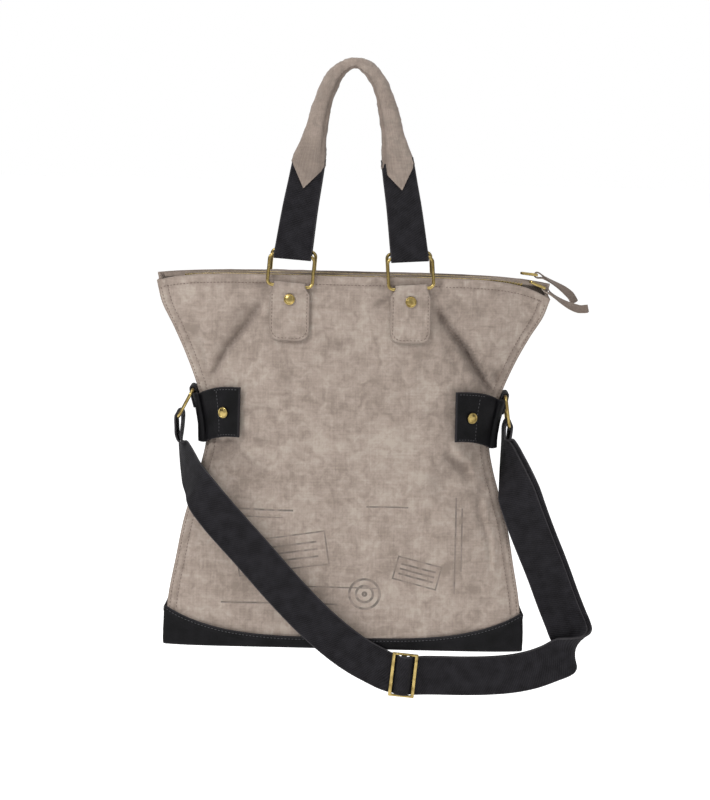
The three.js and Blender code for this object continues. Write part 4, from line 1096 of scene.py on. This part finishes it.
def washed_canvas(cloth, name="washed cotton canvas", printed=False):
    """Cotton canvas, dyed taupe and washed: cloudy in tone, matt, with a thread that shows close up."""
    material, shader, add = new_material(name)
    place, uv = add("TexCoord", output="Object"), add("TexCoord", output="UV")
    # The wash leaves clouds of 40 mm, blotches of 9 mm and specks of 2 mm
    cloud, blotch, speck = [
        add("TexNoise", {"Vector": place, "Scale": scale, "Detail": detail, "Distortion": bend}, "Fac")
        for scale, detail, bend in ((24, 3, 0.5), (110, 5, 0.7), (520, 3, 0.2))
    ]
    # Uneven yarns show as short streaks across and along, 1.5 mm wide, which is coarser than real yarn
    ways = [add("Mapping", {"Vector": place, "Scale": way}) for way in ((1, 0.3, 0.07), (0.07, 0.3, 1))]
    streaks = [add("TexNoise", {"Vector": way, "Scale": 650, "Detail": 1}, "Fac") for way in ways]
    tone = 0.0
    for value, share in ((cloud, 0.3), (blotch, 0.38), (speck, 0.12), (streaks[0], 0.1), (streaks[1], 0.1)):
        tone = add("Math", {0: value, 1: share, 2: tone}, operation="MULTIPLY_ADD")
    fold_and_shade, rim = [add("Attribute", output="Fac", attribute_name=kept) for kept in ("fold_and_shade", "rim")]
    # Edges are rubbed over 2 mm, in patches
    rubbed = add("MapRange", {0: rim, 1: 2.2, 2: 0.2})
    patches = add("MapRange", {0: blotch, 1: 0.35, 2: 0.6})
    layers = [
        (add("MapRange", {0: tone, 1: 0.4, 2: 0.5}), 1, rgba(cloth.canvas)),
        (add("MapRange", {0: tone, 1: 0.5, 2: 0.6}), 1, rgba(cloth.canvas_pale)),
        # Painted shade: deepest in creases and folds, along the grip's inner side and groove and on the zip
        # pulls' lower layer, with a darker line along seams and lip hem
        (fold_and_shade, 0.5, linear("#54473f")),
        (add("Math", {0: rubbed, 1: patches}, operation="MULTIPLY"), 0.55, linear("#5f534b")),
    ]
    if printed:
        # The wash has taken the ink off in patches too
        left = add("MapRange", {0: blotch, 1: 0.36, 2: 0.6, 3: 0.25, 4: 0.95})
        ink = add("Math", {0: print_mask(add, uv), 1: left}, operation="MULTIPLY")
        layers.append((ink, 0.85, linear("#514a46")))
    weave = weave_height(add, uv, cloth.weave)
    layers.append((weave, 0.1, linear("#cfc5bb")))
    bump = {}
    for height, strength, depth in ((weave, 0.35, 0.3), (speck, 0.3, 0.5), (blotch, 0.25, 1.2)):
        relief = {"Height": height, "Strength": strength, "Distance": depth * MM}
        bump = {"Normal": add("Bump", {**relief, **bump})}
    set_inputs(shader, {
        "Base Color": layered(add, rgba(cloth.canvas_dark), layers),
        "Roughness": add("MapRange", {0: tone, 1: 0.3, 2: 0.7, 3: 0.95, 4: 0.82}),
        "Specular IOR Level": 0.2,
        "Sheen Weight": 0.12,
        "Sheen Roughness": 0.6,
        **bump,
    })
    return material


# Faded generic print: bars as middle, half lengths and turn, all in mm and degrees
PRINT_BARS = (
    ((-62, -511), (56, 0.8), 0),
    ((-2, -494), (34, 0.6), 0),
    ((-84, -420), (34, 0.9), 0),
    ((-84, -427), (24, 0.6), 0),
    ((106, -452), (0.7, 46), 0),
    ((112, -446), (0.6, 30), 0),
    ((40, -415), (20, 0.7), 0),
)
PRINT_FRAMES = (
    ((-60, -462), (44, 17), 9),
    ((70, -478), (22, 12), -14),
)
PRINT_FRAME_LINE = 1.4
# Rings round one middle: where it is, how far out they go, and the distance between them
PRINT_RINGS = ((20, -500), 19, 6.5)
# Half the width over which the ink fades at an edge
PRINT_BLUR = 0.3


def bar_mask(add, uv, centre, half, turn):
    """1 inside a bar on the cloth, given in mm by its middle, half lengths and turn."""
    place = {"Location": (centre[0] * MM, centre[1] * MM, 0), "Rotation": (0, 0, radians(turn))}
    moved = add("Mapping", {"Vector": uv, **place}, vector_type="TEXTURE")
    size = add("VectorMath", {0: moved}, operation="ABSOLUTE")
    over = add("VectorMath", {0: size, 1: (half[0] * MM, half[1] * MM, 0)}, operation="SUBTRACT")
    x, y = [add("SeparateXYZ", {0: over}, way) for way in (0, 1)]
    away = add("Math", {0: x, 1: y}, operation="MAXIMUM")
    return add("MapRange", {0: away, 1: PRINT_BLUR * MM, 2: -PRINT_BLUR * MM})


def print_mask(add, uv):
    """Where the faded print lies: ruled lines, two frames with bars in them, and rings."""
    masks = [bar_mask(add, uv, *bar) for bar in PRINT_BARS]
    for centre, half, turn in PRINT_FRAMES:
        outer = bar_mask(add, uv, centre, half, turn)
        inner = bar_mask(add, uv, centre, [length - PRINT_FRAME_LINE for length in half], turn)
        masks.append(add("Math", {0: outer, 1: inner}, operation="SUBTRACT"))
        for share in (-0.42, 0.0, 0.42):
            lift = share * half[1]
            spot = (centre[0] - lift * sin(radians(turn)), centre[1] + lift * cos(radians(turn)))
            masks.append(bar_mask(add, uv, spot, (half[0] * 0.78, 0.9), turn))
    (x, z), radius, spacing = PRINT_RINGS
    away = add("VectorMath", {0: uv, 1: (x * MM, z * MM, 0)}, "Value", operation="DISTANCE")
    angle = add("Math", {0: away, 1: 2 * pi / (spacing * MM)}, operation="MULTIPLY")
    waves = add("Math", {0: angle}, operation="SINE")
    rings = add("MapRange", {0: waves, 1: 0.3, 2: 0.6})
    inside = add("MapRange", {0: away, 1: radius * MM, 2: (radius - 0.5) * MM})
    masks.append(add("Math", {0: rings, 1: inside}, operation="MULTIPLY"))
    ink = 0.0
    for mask in masks:
        ink = add("Math", {0: mask, 1: ink}, operation="MAXIMUM")
    return ink


def black_leather(trim):
    """Black full-grain leather, waxed: a low sheen, fine pebbles and greyer, rubbed edges."""
    material, shader, add = new_material("black waxed leather")
    place = add("TexCoord", output="Object")
    # Pebbles of 1.4 mm, a little coarser than the real grain so that they show
    pebbles = {"Vector": place, "Scale": 700, "Randomness": 1.0}
    grain = add("TexVoronoi", pebbles, "Distance", feature="SMOOTH_F1")
    cloud = add("TexNoise", {"Vector": place, "Scale": 60, "Detail": 4}, "Fac")
    rim = add("Attribute", output="Fac", attribute_name="rim")
    layers = (
        (add("MapRange", {0: cloud, 1: 0.35, 2: 0.7}), 1, linear("#111013")),
        (add("MapRange", {0: rim, 1: 1.6, 2: 0.1}), 0.5, linear("#3b393c")),
    )
    set_inputs(shader, {
        "Base Color": layered(add, rgba(trim.leather), layers),
        "Roughness": add("MapRange", {0: cloud, 1: 0.3, 2: 0.7, 3: 0.62, 4: 0.45}),
        "Normal": add("Bump", {"Height": grain, "Strength": 0.4, "Distance": 0.4 * MM}),
        "Specular IOR Level": 0.12,
    })
    return material


def black_webbing(cloth):
    """Black cotton webbing, woven flat: matt, ribbed in a slant, with a painted highlight along its edges."""
    material, shader, add = new_material("black cotton webbing")
    uv = add("TexCoord", output="UV")
    slanted = add("Mapping", {"Vector": uv, "Rotation": (0, 0, radians(28))})
    scale = WAVE_SCALE / cloth.webbing_rib
    ribs = {"Vector": slanted, "Scale": scale, "Distortion": 0.4}
    ribs = add("TexWave", ribs, "Fac", bands_direction="Y")
    warp = {"Vector": uv, "Scale": scale * 1.6, "Distortion": 0.3}
    warp = add("TexWave", warp, "Fac", bands_direction="X")
    weave = add("Math", {0: ribs, 1: warp}, operation="MULTIPLY")
    cloud = add("TexNoise", {"Vector": uv, "Scale": 90, "Detail": 4}, "Fac")
    rim = add("Attribute", output="Fac", attribute_name="rim")
    layers = (
        (add("MapRange", {0: cloud, 1: 0.35, 2: 0.65}), 1, linear("#201f22")),
        (weave, 0.5, linear("#38363a")),
        # A painted highlight along the edges
        (add("MapRange", {0: rim, 1: 1.3, 2: 0.5}), 0.55, linear("#454345")),
    )
    set_inputs(shader, {
        "Base Color": layered(add, rgba(cloth.webbing), layers),
        "Normal": add("Bump", {"Height": weave, "Strength": 0.55, "Distance": 0.5 * MM}),
        "Roughness": 0.85,
        "Specular IOR Level": 0.1,
        "Sheen Weight": 0.02,
    })
    return material


def aged_brass(trim):
    """Solid brass, tumbled and lacquer-free: pale gold with browner, duller patches."""
    material, shader, add = new_material("aged solid brass")
    place = add("TexCoord", output="Object")
    # Patches of 6 mm and scratches of 0.7 mm
    patch = add("TexNoise", {"Vector": place, "Scale": 160, "Detail": 5}, "Fac")
    scratch = add("TexNoise", {"Vector": place, "Scale": 1400, "Detail": 2}, "Fac")
    brown = (add("MapRange", {0: patch, 1: 0.45, 2: 0.75}), 1, linear("#6e5a30"))
    set_inputs(shader, {
        "Base Color": layered(add, rgba(trim.brass), [brown]),
        "Roughness": add("MapRange", {0: patch, 1: 0.35, 2: 0.7, 3: 0.24, 4: 0.42}),
        "Normal": add("Bump", {"Height": scratch, "Strength": 0.12, "Distance": 0.2 * MM}),
        "Metallic": 1,
    })
    return material


def zip_tape_cloth():
    """Polyester zip tape: a dull brown twill."""
    material, shader, add = new_material("polyester zip tape")
    slant = add("Mapping", {"Vector": add("TexCoord", output="UV"), "Rotation": (0, 0, radians(45))})
    # Twill lines 1.1 mm apart, drawn coarser than real ones so that they show
    rib = add("TexWave", {"Vector": slant, "Scale": WAVE_SCALE / (1.1 * MM)}, "Fac")
    set_inputs(shader, {
        "Base Color": layered(add, linear("#352e29"), [(rib, 1, linear("#4b4139"))]),
        "Normal": add("Bump", {"Height": rib, "Strength": 0.4, "Distance": 0.3 * MM}),
        "Roughness": 0.9,
    })
    return material


def cotton_thread(name, colour):
    """Waxed cotton thread: twisted from strands, slightly shiny."""
    material, shader, add = new_material(name)
    place = add("TexCoord", output="Object")
    # Strands of 0.4 mm
    twist = add("TexNoise", {"Vector": place, "Scale": 2500, "Detail": 1}, "Fac")
    paler = rgba([part * 1.25 for part in colour[:3]])
    set_inputs(shader, {
        "Base Color": layered(add, colour, [(twist, 1, paler)]),
        "Normal": add("Bump", {"Height": twist, "Strength": 0.3, "Distance": 0.2 * MM}),
        "Roughness": 0.7,
    })
    return material


def pale_floor():
    """Painted board, matt and nearly white."""
    material, shader, _ = new_material("matt white floor paint")
    set_inputs(shader, {
        "Base Color": (0.92, 0.92, 0.92, 1),
        "Roughness": 1,
        "Emission Color": (1, 1, 1, 1),
        "Emission Strength": 0.55,
    })
    return material


# Where the camera looks, the width of its film in mm, and the metres that it sees across the bag
LOOK_AT = Vector((0.0067, -0.05, -0.312))
FILM = 36
SPAN = 0.6745
# Soft lamps aimed at the bag's middle: name, place and size in metres, and share of the key's power
LAMPS = (
    ("key", (-1.7, -1.7, 1.5), 0.9, 1.0),
    ("fill", (1.8, -2.2, 0.4), 1.8, 0.14),
    ("top", (0, 0.0, 2.2), 2.0, 0.7),
)
LAMP_AIM = Vector((0, 0, -0.32))

# What the operators share while the bag is dressed
made = {}


class TOTE_OT_stage(bpy.types.Operator):
    """Set the camera, the pale floor and the soft light"""

    bl_idname = "tote.stage"
    bl_label = "Stage"

    def execute(self, context):
        stage = context.scene.tote_stage
        self.set_camera(context.scene, stage)
        bpy.ops.object.select_all(action="DESELECT")
        bpy.ops.mesh.primitive_plane_add(size=30, location=(0, 0, stage.drop))
        floor = context.object
        floor.name = "floor"
        floor.data.materials.append(pale_floor())
        self.set_world(context.scene)
        for name, spot, size, share in LAMPS:
            lamp = bpy.data.lights.new(name, "AREA")
            lamp.size = size
            lamp.energy = stage.light * share
            turn = (LAMP_AIM - Vector(spot)).to_track_quat("-Z", "Y").to_matrix().to_4x4()
            add_object(name, lamp).matrix_world = Matrix.Translation(spot) @ turn
        return {"FINISHED"}

    def set_camera(self, scene, stage):
        camera = bpy.data.cameras.new("camera")
        camera.sensor_fit = "HORIZONTAL"
        camera.sensor_width = FILM
        camera.lens = FILM * stage.distance / SPAN
        turn = Matrix.Rotation(pi / 2 - stage.elevation, 4, "X") @ Matrix.Rotation(stage.roll, 4, "Z")
        back = Vector((0, -cos(stage.elevation), sin(stage.elevation))) * stage.distance
        scene.camera = add_object("camera", camera)
        scene.camera.matrix_world = Matrix.Translation(LOOK_AT + back) @ turn
        scene.view_settings.view_transform = "Standard"

    def set_world(self, scene):
        """A pale room that is darker towards both sides, so that metal and leather show their edges."""
        scene.world = bpy.data.worlds.new("studio")
        scene.world.use_nodes = True
        tree = scene.world.node_tree
        add = partial(add_node, tree)
        x, _, z = [add("SeparateXYZ", {0: add("TexCoord", output="Generated")}, way) for way in range(3)]
        side = add("Math", {0: x}, operation="ABSOLUTE")
        shades = (
            add("MapRange", {0: side, 1: 0.45, 2: 0.95, 3: 0.5, 4: 0.1}),
            add("MapRange", {0: z, 1: -0.6, 2: 0.8, 3: 0.35, 4: 1.3}),
        )
        shade = add("Math", dict(enumerate(shades)), operation="MULTIPLY")
        seen = add("LightPath", output="Is Camera Ray")
        power = add("Math", {0: shade, 1: seen}, operation="MAXIMUM")
        set_inputs(tree.nodes["Background"], {"Strength": power, "Color": (1, 1, 1, 1)})


class TOTE_OT_body(bpy.types.Operator):
    """Make the canvas panels, the gussets and the divider"""

    bl_idname = "tote.body"
    bl_label = "Canvas body"

    def execute(self, context):
        cloth = context.scene.tote_cloth
        plain = made["canvas"] = washed_canvas(cloth)
        printed = washed_canvas(cloth, "washed cotton canvas, printed", True)
        made["front_panel"] = make_panel("front_panel", -1, FRONT_FOLDS, cloth, printed)
        made["back_panel"] = make_panel("back_panel", 1, BACK_FOLDS, cloth, plain)
        for end, side in (("left", -1), ("right", 1)):
            made[f"gusset_{end}"] = make_gusset(f"gusset_{end}", side, plain)
        made["divider"] = make_divider(plain)
        return {"FINISHED"}


class TOTE_OT_foot(bpy.types.Operator):
    """Make the leather foot: its wall and its base"""

    bl_idname = "tote.foot"
    bl_label = "Leather foot"

    def execute(self, context):
        leather = made["leather"] = black_leather(context.scene.tote_trim)
        made["boot_wall"] = make_boot(leather)
        make_base(leather)
        return {"FINISHED"}


class TOTE_OT_sleeve(bpy.types.Operator):
    """Make the canvas sleeve on the back, open at both ends"""

    bl_idname = "tote.sleeve"
    bl_label = "Back sleeve"

    def execute(self, context):
        def first(points):
            low = np.where((points[:, 2] < -500) & (points[:, 2] > -546.5))[0]
            return low[np.argsort(points[low, 1])[:14]]

        strip = read_strip("mat_sleeve", first)

        def relief(grid, along, share, rim):
            sag = fractal(grid * np.array([0.5, 1, 1]), 40, 3, 14.2) * 1.3 + ridged(grid, 30, 3.3) * 0.6
            hem = (1 - smoothstep(np.minimum(share, 1 - share) * 205, 8, 9.5)) * -0.4
            return sag * smoothstep(rim, 10, 30) + hem

        sleeve = cloth_of(strip, "mat_sleeve_canvas", 3.2, 64, relief=relief)
        made["mat_sleeve"] = sleeve
        finish_piece(sleeve.obj, made["canvas"], "canvas", "mat_sleeve")
        return {"FINISHED"}


class TOTE_OT_zips(bpy.types.Operator):
    """Make the two zips: tapes, teeth, sliders and pulls"""

    bl_idname = "tote.zips"
    bl_label = "Zips"

    def execute(self, context):
        tape_cloth = zip_tape_cloth()
        brass = made["brass"] = aged_brass(context.scene.tote_trim)
        tooth = make_tooth_master()
        for where, face in (("front", -1), ("rear", 1)):
            self.make_tape(where, face, tape_cloth)
            self.make_teeth(where, tooth, brass)
            slider = merged_copy(f"zip_slider_{where}", f"zip_slider_{where}_brass")
            bevel_edges(slider, 0.45, 2)
            finish_piece(slider, brass, "brass", f"zip_slider_{where}")
            self.make_pull(where)
        remove(tooth)
        return {"FINISHED"}

    def make_tape(self, where, face, material):
        shares = lean_shares(80)[4:-4]
        height = np.full(shares.shape, 1 - TAPE_SINK / BODY_HEIGHT)
        lip = body_point(face, shares, height)
        rear = body_point(1, shares, height)
        outer = face * np.maximum(np.abs(lip[:, 1]) - CANVAS - 5 * GAP, 1.5 * CANVAS)
        inner = face * (CANVAS / 2 + GAP)
        across = np.linspace(0, 1, 12)
        y = outer[:, None] * (1 - across) + inner * across
        z = lip[:, 2:] * (1 - across) + rear[:, 2:] * across
        x = np.broadcast_to(lip[:, :1], y.shape)
        sag = np.sin(across * pi)[None, :] * 0.4
        grid = np.stack([x, y, z - sag], -1)
        uv = np.stack([y * MM, x * MM], -1)
        low, high = (-TAPE, 0) if face < 0 else (0, TAPE)
        tape = sheet(
            f"zip_tape_{where}_cloth", grid, low, high, uv,
            rim=5 + 0 * y, rows=shares, columns=across, outer=face,
        )
        finish_piece(tape.obj, material, "zip", f"zip_tape_{where}")

    def make_teeth(self, where, tooth, brass):
        node = f"zip_chain_{where}"
        strip = read_strip(node)
        lengths = lengths_along(strip.middles.mean(axis=1))
        line = smooth_table(np.column_stack([lengths, strip.middles.mean(axis=1)]))
        across = smooth_table(np.column_stack([lengths, strip.middles[:, 1] - strip.middles[:, 0]]))
        frames = []
        for number, s in enumerate(np.arange(1, lengths[-1] - 1, TOOTH_PITCH)):
            middle, tangent = line(s), unit(line(s + 0.5) - line(s - 0.5))
            side = unit(across(s))
            up = unit(np.cross(tangent, side))
            up = up if up[2] > 0 else -up
            side = np.cross(tangent, up)
            place = middle + side * (TOOTH_SHIFT if number % 2 else -TOOTH_SHIFT)
            frames.append(frame_of(side, tangent, up, place * MM))
        teeth = scatter(f"zip_teeth_{where}", tooth.data, frames)
        finish_piece(teeth, brass, "brass", node, sharp=30)

    def make_pull(self, where):
        node = f"zip_pull_{where}"
        strip = read_strip(node)
        # The folded strip turns its flat side to the front on its way out
        both = (strip.middles + strip.middles[::-1]).mean(axis=1) / 2
        tangents = unit(np.gradient(both, axis=0) + 1e-9)
        far = lengths_along(both)
        far = np.minimum(far, far[-1] - far)
        turn = smoothstep(far, far.max() * 0.9, far.max() * 0.35) * radians(58)
        for row, (centre, axis) in enumerate(zip(both, tangents)):
            axis = axis * (1 if axis[0] > 0 else -1)
            rotation = np.array(Matrix.Rotation(turn[row], 3, Vector(axis)))
            for values in (strip.middles, strip.through):
                shift = centre if values is strip.middles else 0
                values[row] = (values[row] - shift) @ rotation.T + shift
        pull = cloth_of(strip, f"{node}_canvas", 1.2, 8)
        # Painted shade: the lower layer is drawn darker than the upper one
        lower = np.broadcast_to((pull.rows > pull.rows[-1] / 2)[:, None], pull.points.shape[:2])
        put_attribute(pull.obj.data, "fold_and_shade", lower * 1.6, 2)
        finish_piece(pull.obj, made["canvas"], "canvas", node)


class TOTE_OT_tabs(bpy.types.Operator):
    """Make the canvas tabs that hold the handle rings"""

    bl_idname = "tote.tabs"
    bl_label = "Ring tabs"

    def execute(self, context):
        for where in ("front", "rear"):
            for end in ("left", "right"):
                node = f"ring_tab_{where}_{end}"
                strip = read_strip(node, inner_leg)
                tab = cloth_of(strip, f"{node}_canvas", 1.1, 34, relief=tab_relief, straight=True)
                finish_piece(tab.obj, made["canvas"], "canvas", node)
                made[node] = tab
        return {"FINISHED"}


# The stitched row of a ring tab, in mm from its edge, and the tab's width
TAB_ROW = 2.4
TAB_WIDTH = 38


def tab_relief(grid, along, share, rim):
    """A ring tab's groove under its row of stitches, and its uneven face."""
    groove = np.exp(-(((rim - TAB_ROW) / 0.6) ** 2)) * -0.25
    return groove + fractal(grid, 14, 3, 6.1) * 0.25 * smoothstep(rim, 1, 5)


def inner_leg(points):
    """The end of a ring tab's leg that lies on the panel: ten vertices, two in each column."""
    low = np.argsort(points[:, 2])[:20]
    low = low[np.argsort(points[low, 0])]
    picked = []
    for k in range(0, 20, 4):
        column = low[k : k + 4]
        picked += list(column[np.argsort(np.abs(points[column, 1]))[:2]])
    return picked


class TOTE_OT_metal(bpy.types.Operator):
    """Make the brass rings, rivets and the slider of the strap"""

    bl_idname = "tote.metal"
    bl_label = "Rings and rivets"

    def execute(self, context):
        brass = made["brass"]
        ring, rivet = make_ring_master(), make_rivet_master()
        for node in NODES:
            if node.startswith(("ring_front", "ring_rear", "side_ring")):
                pose, _ = pose_of(node, (0, 0, 1))
                piece = place_copy(ring, f"{node}_brass", pose)
                finish_piece(piece, brass, "brass", node, sharp=60)
            elif "rivet" in node:
                pose, low = pose_of(node, (0, -1 if "front" in node else 1, 0))
                piece = place_copy(rivet, f"{node}_brass", pose @ Matrix.Translation((0, 0, low)))
                finish_piece(piece, brass, "brass", node, sharp=30)
        remove(ring, rivet)
        slider = merged_copy("strap_slider", "strap_slider_brass")
        bevel_edges(slider, 0.7, 3)
        finish_piece(slider, brass, "brass", "strap_slider")
        return {"FINISHED"}


class TOTE_OT_handles(bpy.types.Operator):
    """Make the webbing legs and the rolled canvas grips"""

    bl_idname = "tote.handles"
    bl_label = "Handles"

    def execute(self, context):
        webbing = made["webbing"] = black_webbing(context.scene.tote_cloth)
        for where, face in (("front", -1), ("rear", 1)):
            for end in ("left", "right"):
                node = f"webbing_{where}_{end}"
                leg = cloth_of(read_strip(node), f"{node}_black", 1.5, 18, shape=selvedge)
                finish_piece(leg.obj, webbing, "webbing", node)
                made[node] = leg
            make_grip(f"grip_{where}_canvas", face, made["canvas"])
        return {"FINISHED"}


def selvedge(share):
    """Thickness of webbing across its width: a firm edge, and a slightly thinner middle."""
    edge = np.minimum(share, 1 - share)
    return 1 - 0.12 * smoothstep(edge, 0.03, 0.08)


# The stitched row across a leather band, in mm from its front end
BAND_ROW = 24


def front_end(points):
    """The end of a leather band on the front: the eight vertices there that are nearest the middle."""
    return np.argsort(np.abs(points[:, 0]) + 1e3 * (points[:, 1] > 0))[:8]


def band_relief(grid, along, share, rim):
    """A leather band's groove under its row of stitches, the roll beside it, and its uneven face."""
    groove = np.exp(-(((along - BAND_ROW) / 0.8) ** 2)) * -0.5
    roll = np.exp(-(((along - BAND_ROW - 2.5) / 2) ** 2)) * 0.25
    uneven = fractal(grid, 18, 3, 9.4) * 0.4 * smoothstep(rim, 1, 6)
    return (groove + roll) * smoothstep(rim, 0, 2) + uneven


class TOTE_OT_side_tabs(bpy.types.Operator):
    """Make the leather bands at the waist and the loops for the side rings"""

    bl_idname = "tote.side_tabs"
    bl_label = "Side tabs"

    def execute(self, context):
        for end in ("left", "right"):
            node = f"side_tab_{end}"
            strip = read_strip(node, front_end)
            band = cloth_of(strip, f"{node}_leather", 1.3, 36, relief=band_relief)
            finish_piece(band.obj, made["leather"], "leather", node)
            made[node] = band
            keeper_node = f"ring_keeper_{end}"
            keeper = cloth_of(read_strip(keeper_node), f"{keeper_node}_leather", 1.2, 14)
            finish_piece(keeper.obj, made["leather"], "leather", keeper_node)
        return {"FINISHED"}


class TOTE_OT_strap(bpy.types.Operator):
    """Make the shoulder strap of black webbing"""

    bl_idname = "tote.strap"
    bl_label = "Shoulder strap"

    def execute(self, context):
        strip = read_strip("shoulder_strap")
        strap = cloth_of(strip, "shoulder_strap_black", 1.9, 18, shape=selvedge)
        finish_piece(strap.obj, made["webbing"], "webbing", "shoulder_strap")
        return {"FINISHED"}


class TOTE_OT_stitching(bpy.types.Operator):
    """Sew the rows of stitches on canvas, leather and webbing"""

    bl_idname = "tote.stitching"
    bl_label = "Stitching"

    def execute(self, context):
        trim = context.scene.tote_trim
        master = make_stitch_master()
        pale, dark = [], []
        for name in ("front_panel", "back_panel"):
            panel = made[name]
            lip = 1 - (LIP_HEM - 1.5) / BODY_HEIGHT
            pale += stitch_row(panel, [(lip, -0.975), (lip, 0.975)], trim)
            for side in (-1, 1):
                heights = np.linspace(0.09, 0.985, 30)
                for inset in SEAM_ROWS:
                    half = np.abs(body_point(-1, side + 0 * heights, heights)[:, 0])
                    pale += stitch_row(panel, list(zip(heights, side * (1 - inset / half))), trim)
        for name, tab in made.items():
            if name.startswith("ring_tab"):
                pale += self.tab_rows(tab, trim)
        sleeve = made["mat_sleeve"]
        long = sleeve.rows[-1]
        for share in (0.035, 0.965):
            pale += stitch_row(sleeve, [(6, share), (long - 4, share)], trim)
        for row in (3, long - 3, long - 9):
            pale += stitch_row(sleeve, [(row, 0.02), (row, 0.98)], trim)
        boot = made["boot_wall"]
        tops = boot.points[-1, :, 2] - FLOOR
        dark += stitch_frames(*surface_at(boot, 1 - BOOT_ROW / tops, boot.columns), trim)
        for end in ("left", "right"):
            band = outside_of(made[f"side_tab_{end}"], 4, 3.4)
            dark += stitch_row(band, [(BAND_ROW, 0.06), (BAND_ROW, 0.94)], trim)
            for share in (0.05, 0.95):
                dark += stitch_row(band, [(2.5, share), (30, share)], trim)
        for name, leg in made.items():
            if name.startswith("webbing_"):
                middle = leg.points[:, leg.points.shape[1] // 2]
                row = int(np.argmin(np.abs(middle[:, 2] + 162) - 3 * np.abs(middle[:, 1])))
                at = leg.rows[row]
                dark += stitch_row(outside_of(leg, row, 1.8), [(at, 0.08), (at, 0.92)], trim)
        for name, frames, colour in (
            ("stitches_canvas", pale, rgba(trim.thread)),
            ("stitches_leather", dark, linear("#3a393c")),
        ):
            rows = scatter(name, master.data, frames)
            slot = name.removeprefix("stitches_")
            finish_piece(rows, cotton_thread(name.replace("_", " "), colour), slot)
        remove(master)
        return {"FINISHED"}

    def tab_rows(self, tab, trim):
        """One row inside the edge of the outer leg, down one side, along the end and up the other."""
        inset = TAB_ROW / TAB_WIDTH
        end = tab.rows[-1]
        start = end - 46
        corner = 0.12
        path = [(start, inset), (end - 9, inset), (end - 4.5, inset + 0.04), (end - 2.4, corner + 0.1)]
        path += [(end - 2.4, 0.9 - corner), (end - 4.5, 0.96 - inset)]
        path += [(end - 9, 1 - inset), (start, 1 - inset)]
        return stitch_row(outside_of(tab, -20, 1.4), path, trim)


STEPS = (
    TOTE_OT_stage,
    TOTE_OT_body,
    TOTE_OT_foot,
    TOTE_OT_sleeve,
    TOTE_OT_zips,
    TOTE_OT_tabs,
    TOTE_OT_metal,
    TOTE_OT_handles,
    TOTE_OT_side_tabs,
    TOTE_OT_strap,
    TOTE_OT_stitching,
)


class TOTE_PT_panel(bpy.types.Panel):
    """Lists the steps and the settings"""

    bl_idname = "TOTE_PT_panel"
    bl_label = "Canvas Tote"
    bl_space_type = "VIEW_3D"
    bl_region_type = "UI"
    bl_category = "Tote"

    def draw(self, context):
        for group in (context.scene.tote_cloth, context.scene.tote_trim, context.scene.tote_stage):
            box = self.layout.box()
            for name in group.bl_rna.properties.keys():
                if name not in ("rna_type", "name"):
                    box.prop(group, name)
        for step in STEPS:
            self.layout.operator(step.bl_idname)


GROUPS = (("tote_cloth", ToteCloth), ("tote_trim", ToteTrim), ("tote_stage", ToteStage))


def register():
    for name, group in GROUPS:
        bpy.utils.register_class(group)
        setattr(bpy.types.Scene, name, bpy.props.PointerProperty(type=group))
    for step in STEPS:
        bpy.utils.register_class(step)
    bpy.utils.register_class(TOTE_PT_panel)


def unregister():
    bpy.utils.unregister_class(TOTE_PT_panel)
    for step in reversed(STEPS):
        bpy.utils.unregister_class(step)
    for name, group in reversed(GROUPS):
        delattr(bpy.types.Scene, name)
        bpy.utils.unregister_class(group)


def main():
    register()
    for step in STEPS:
        group, name = step.bl_idname.split(".")
        getattr(getattr(bpy.ops, group), name)()


if __name__ == "__main__":
    main()
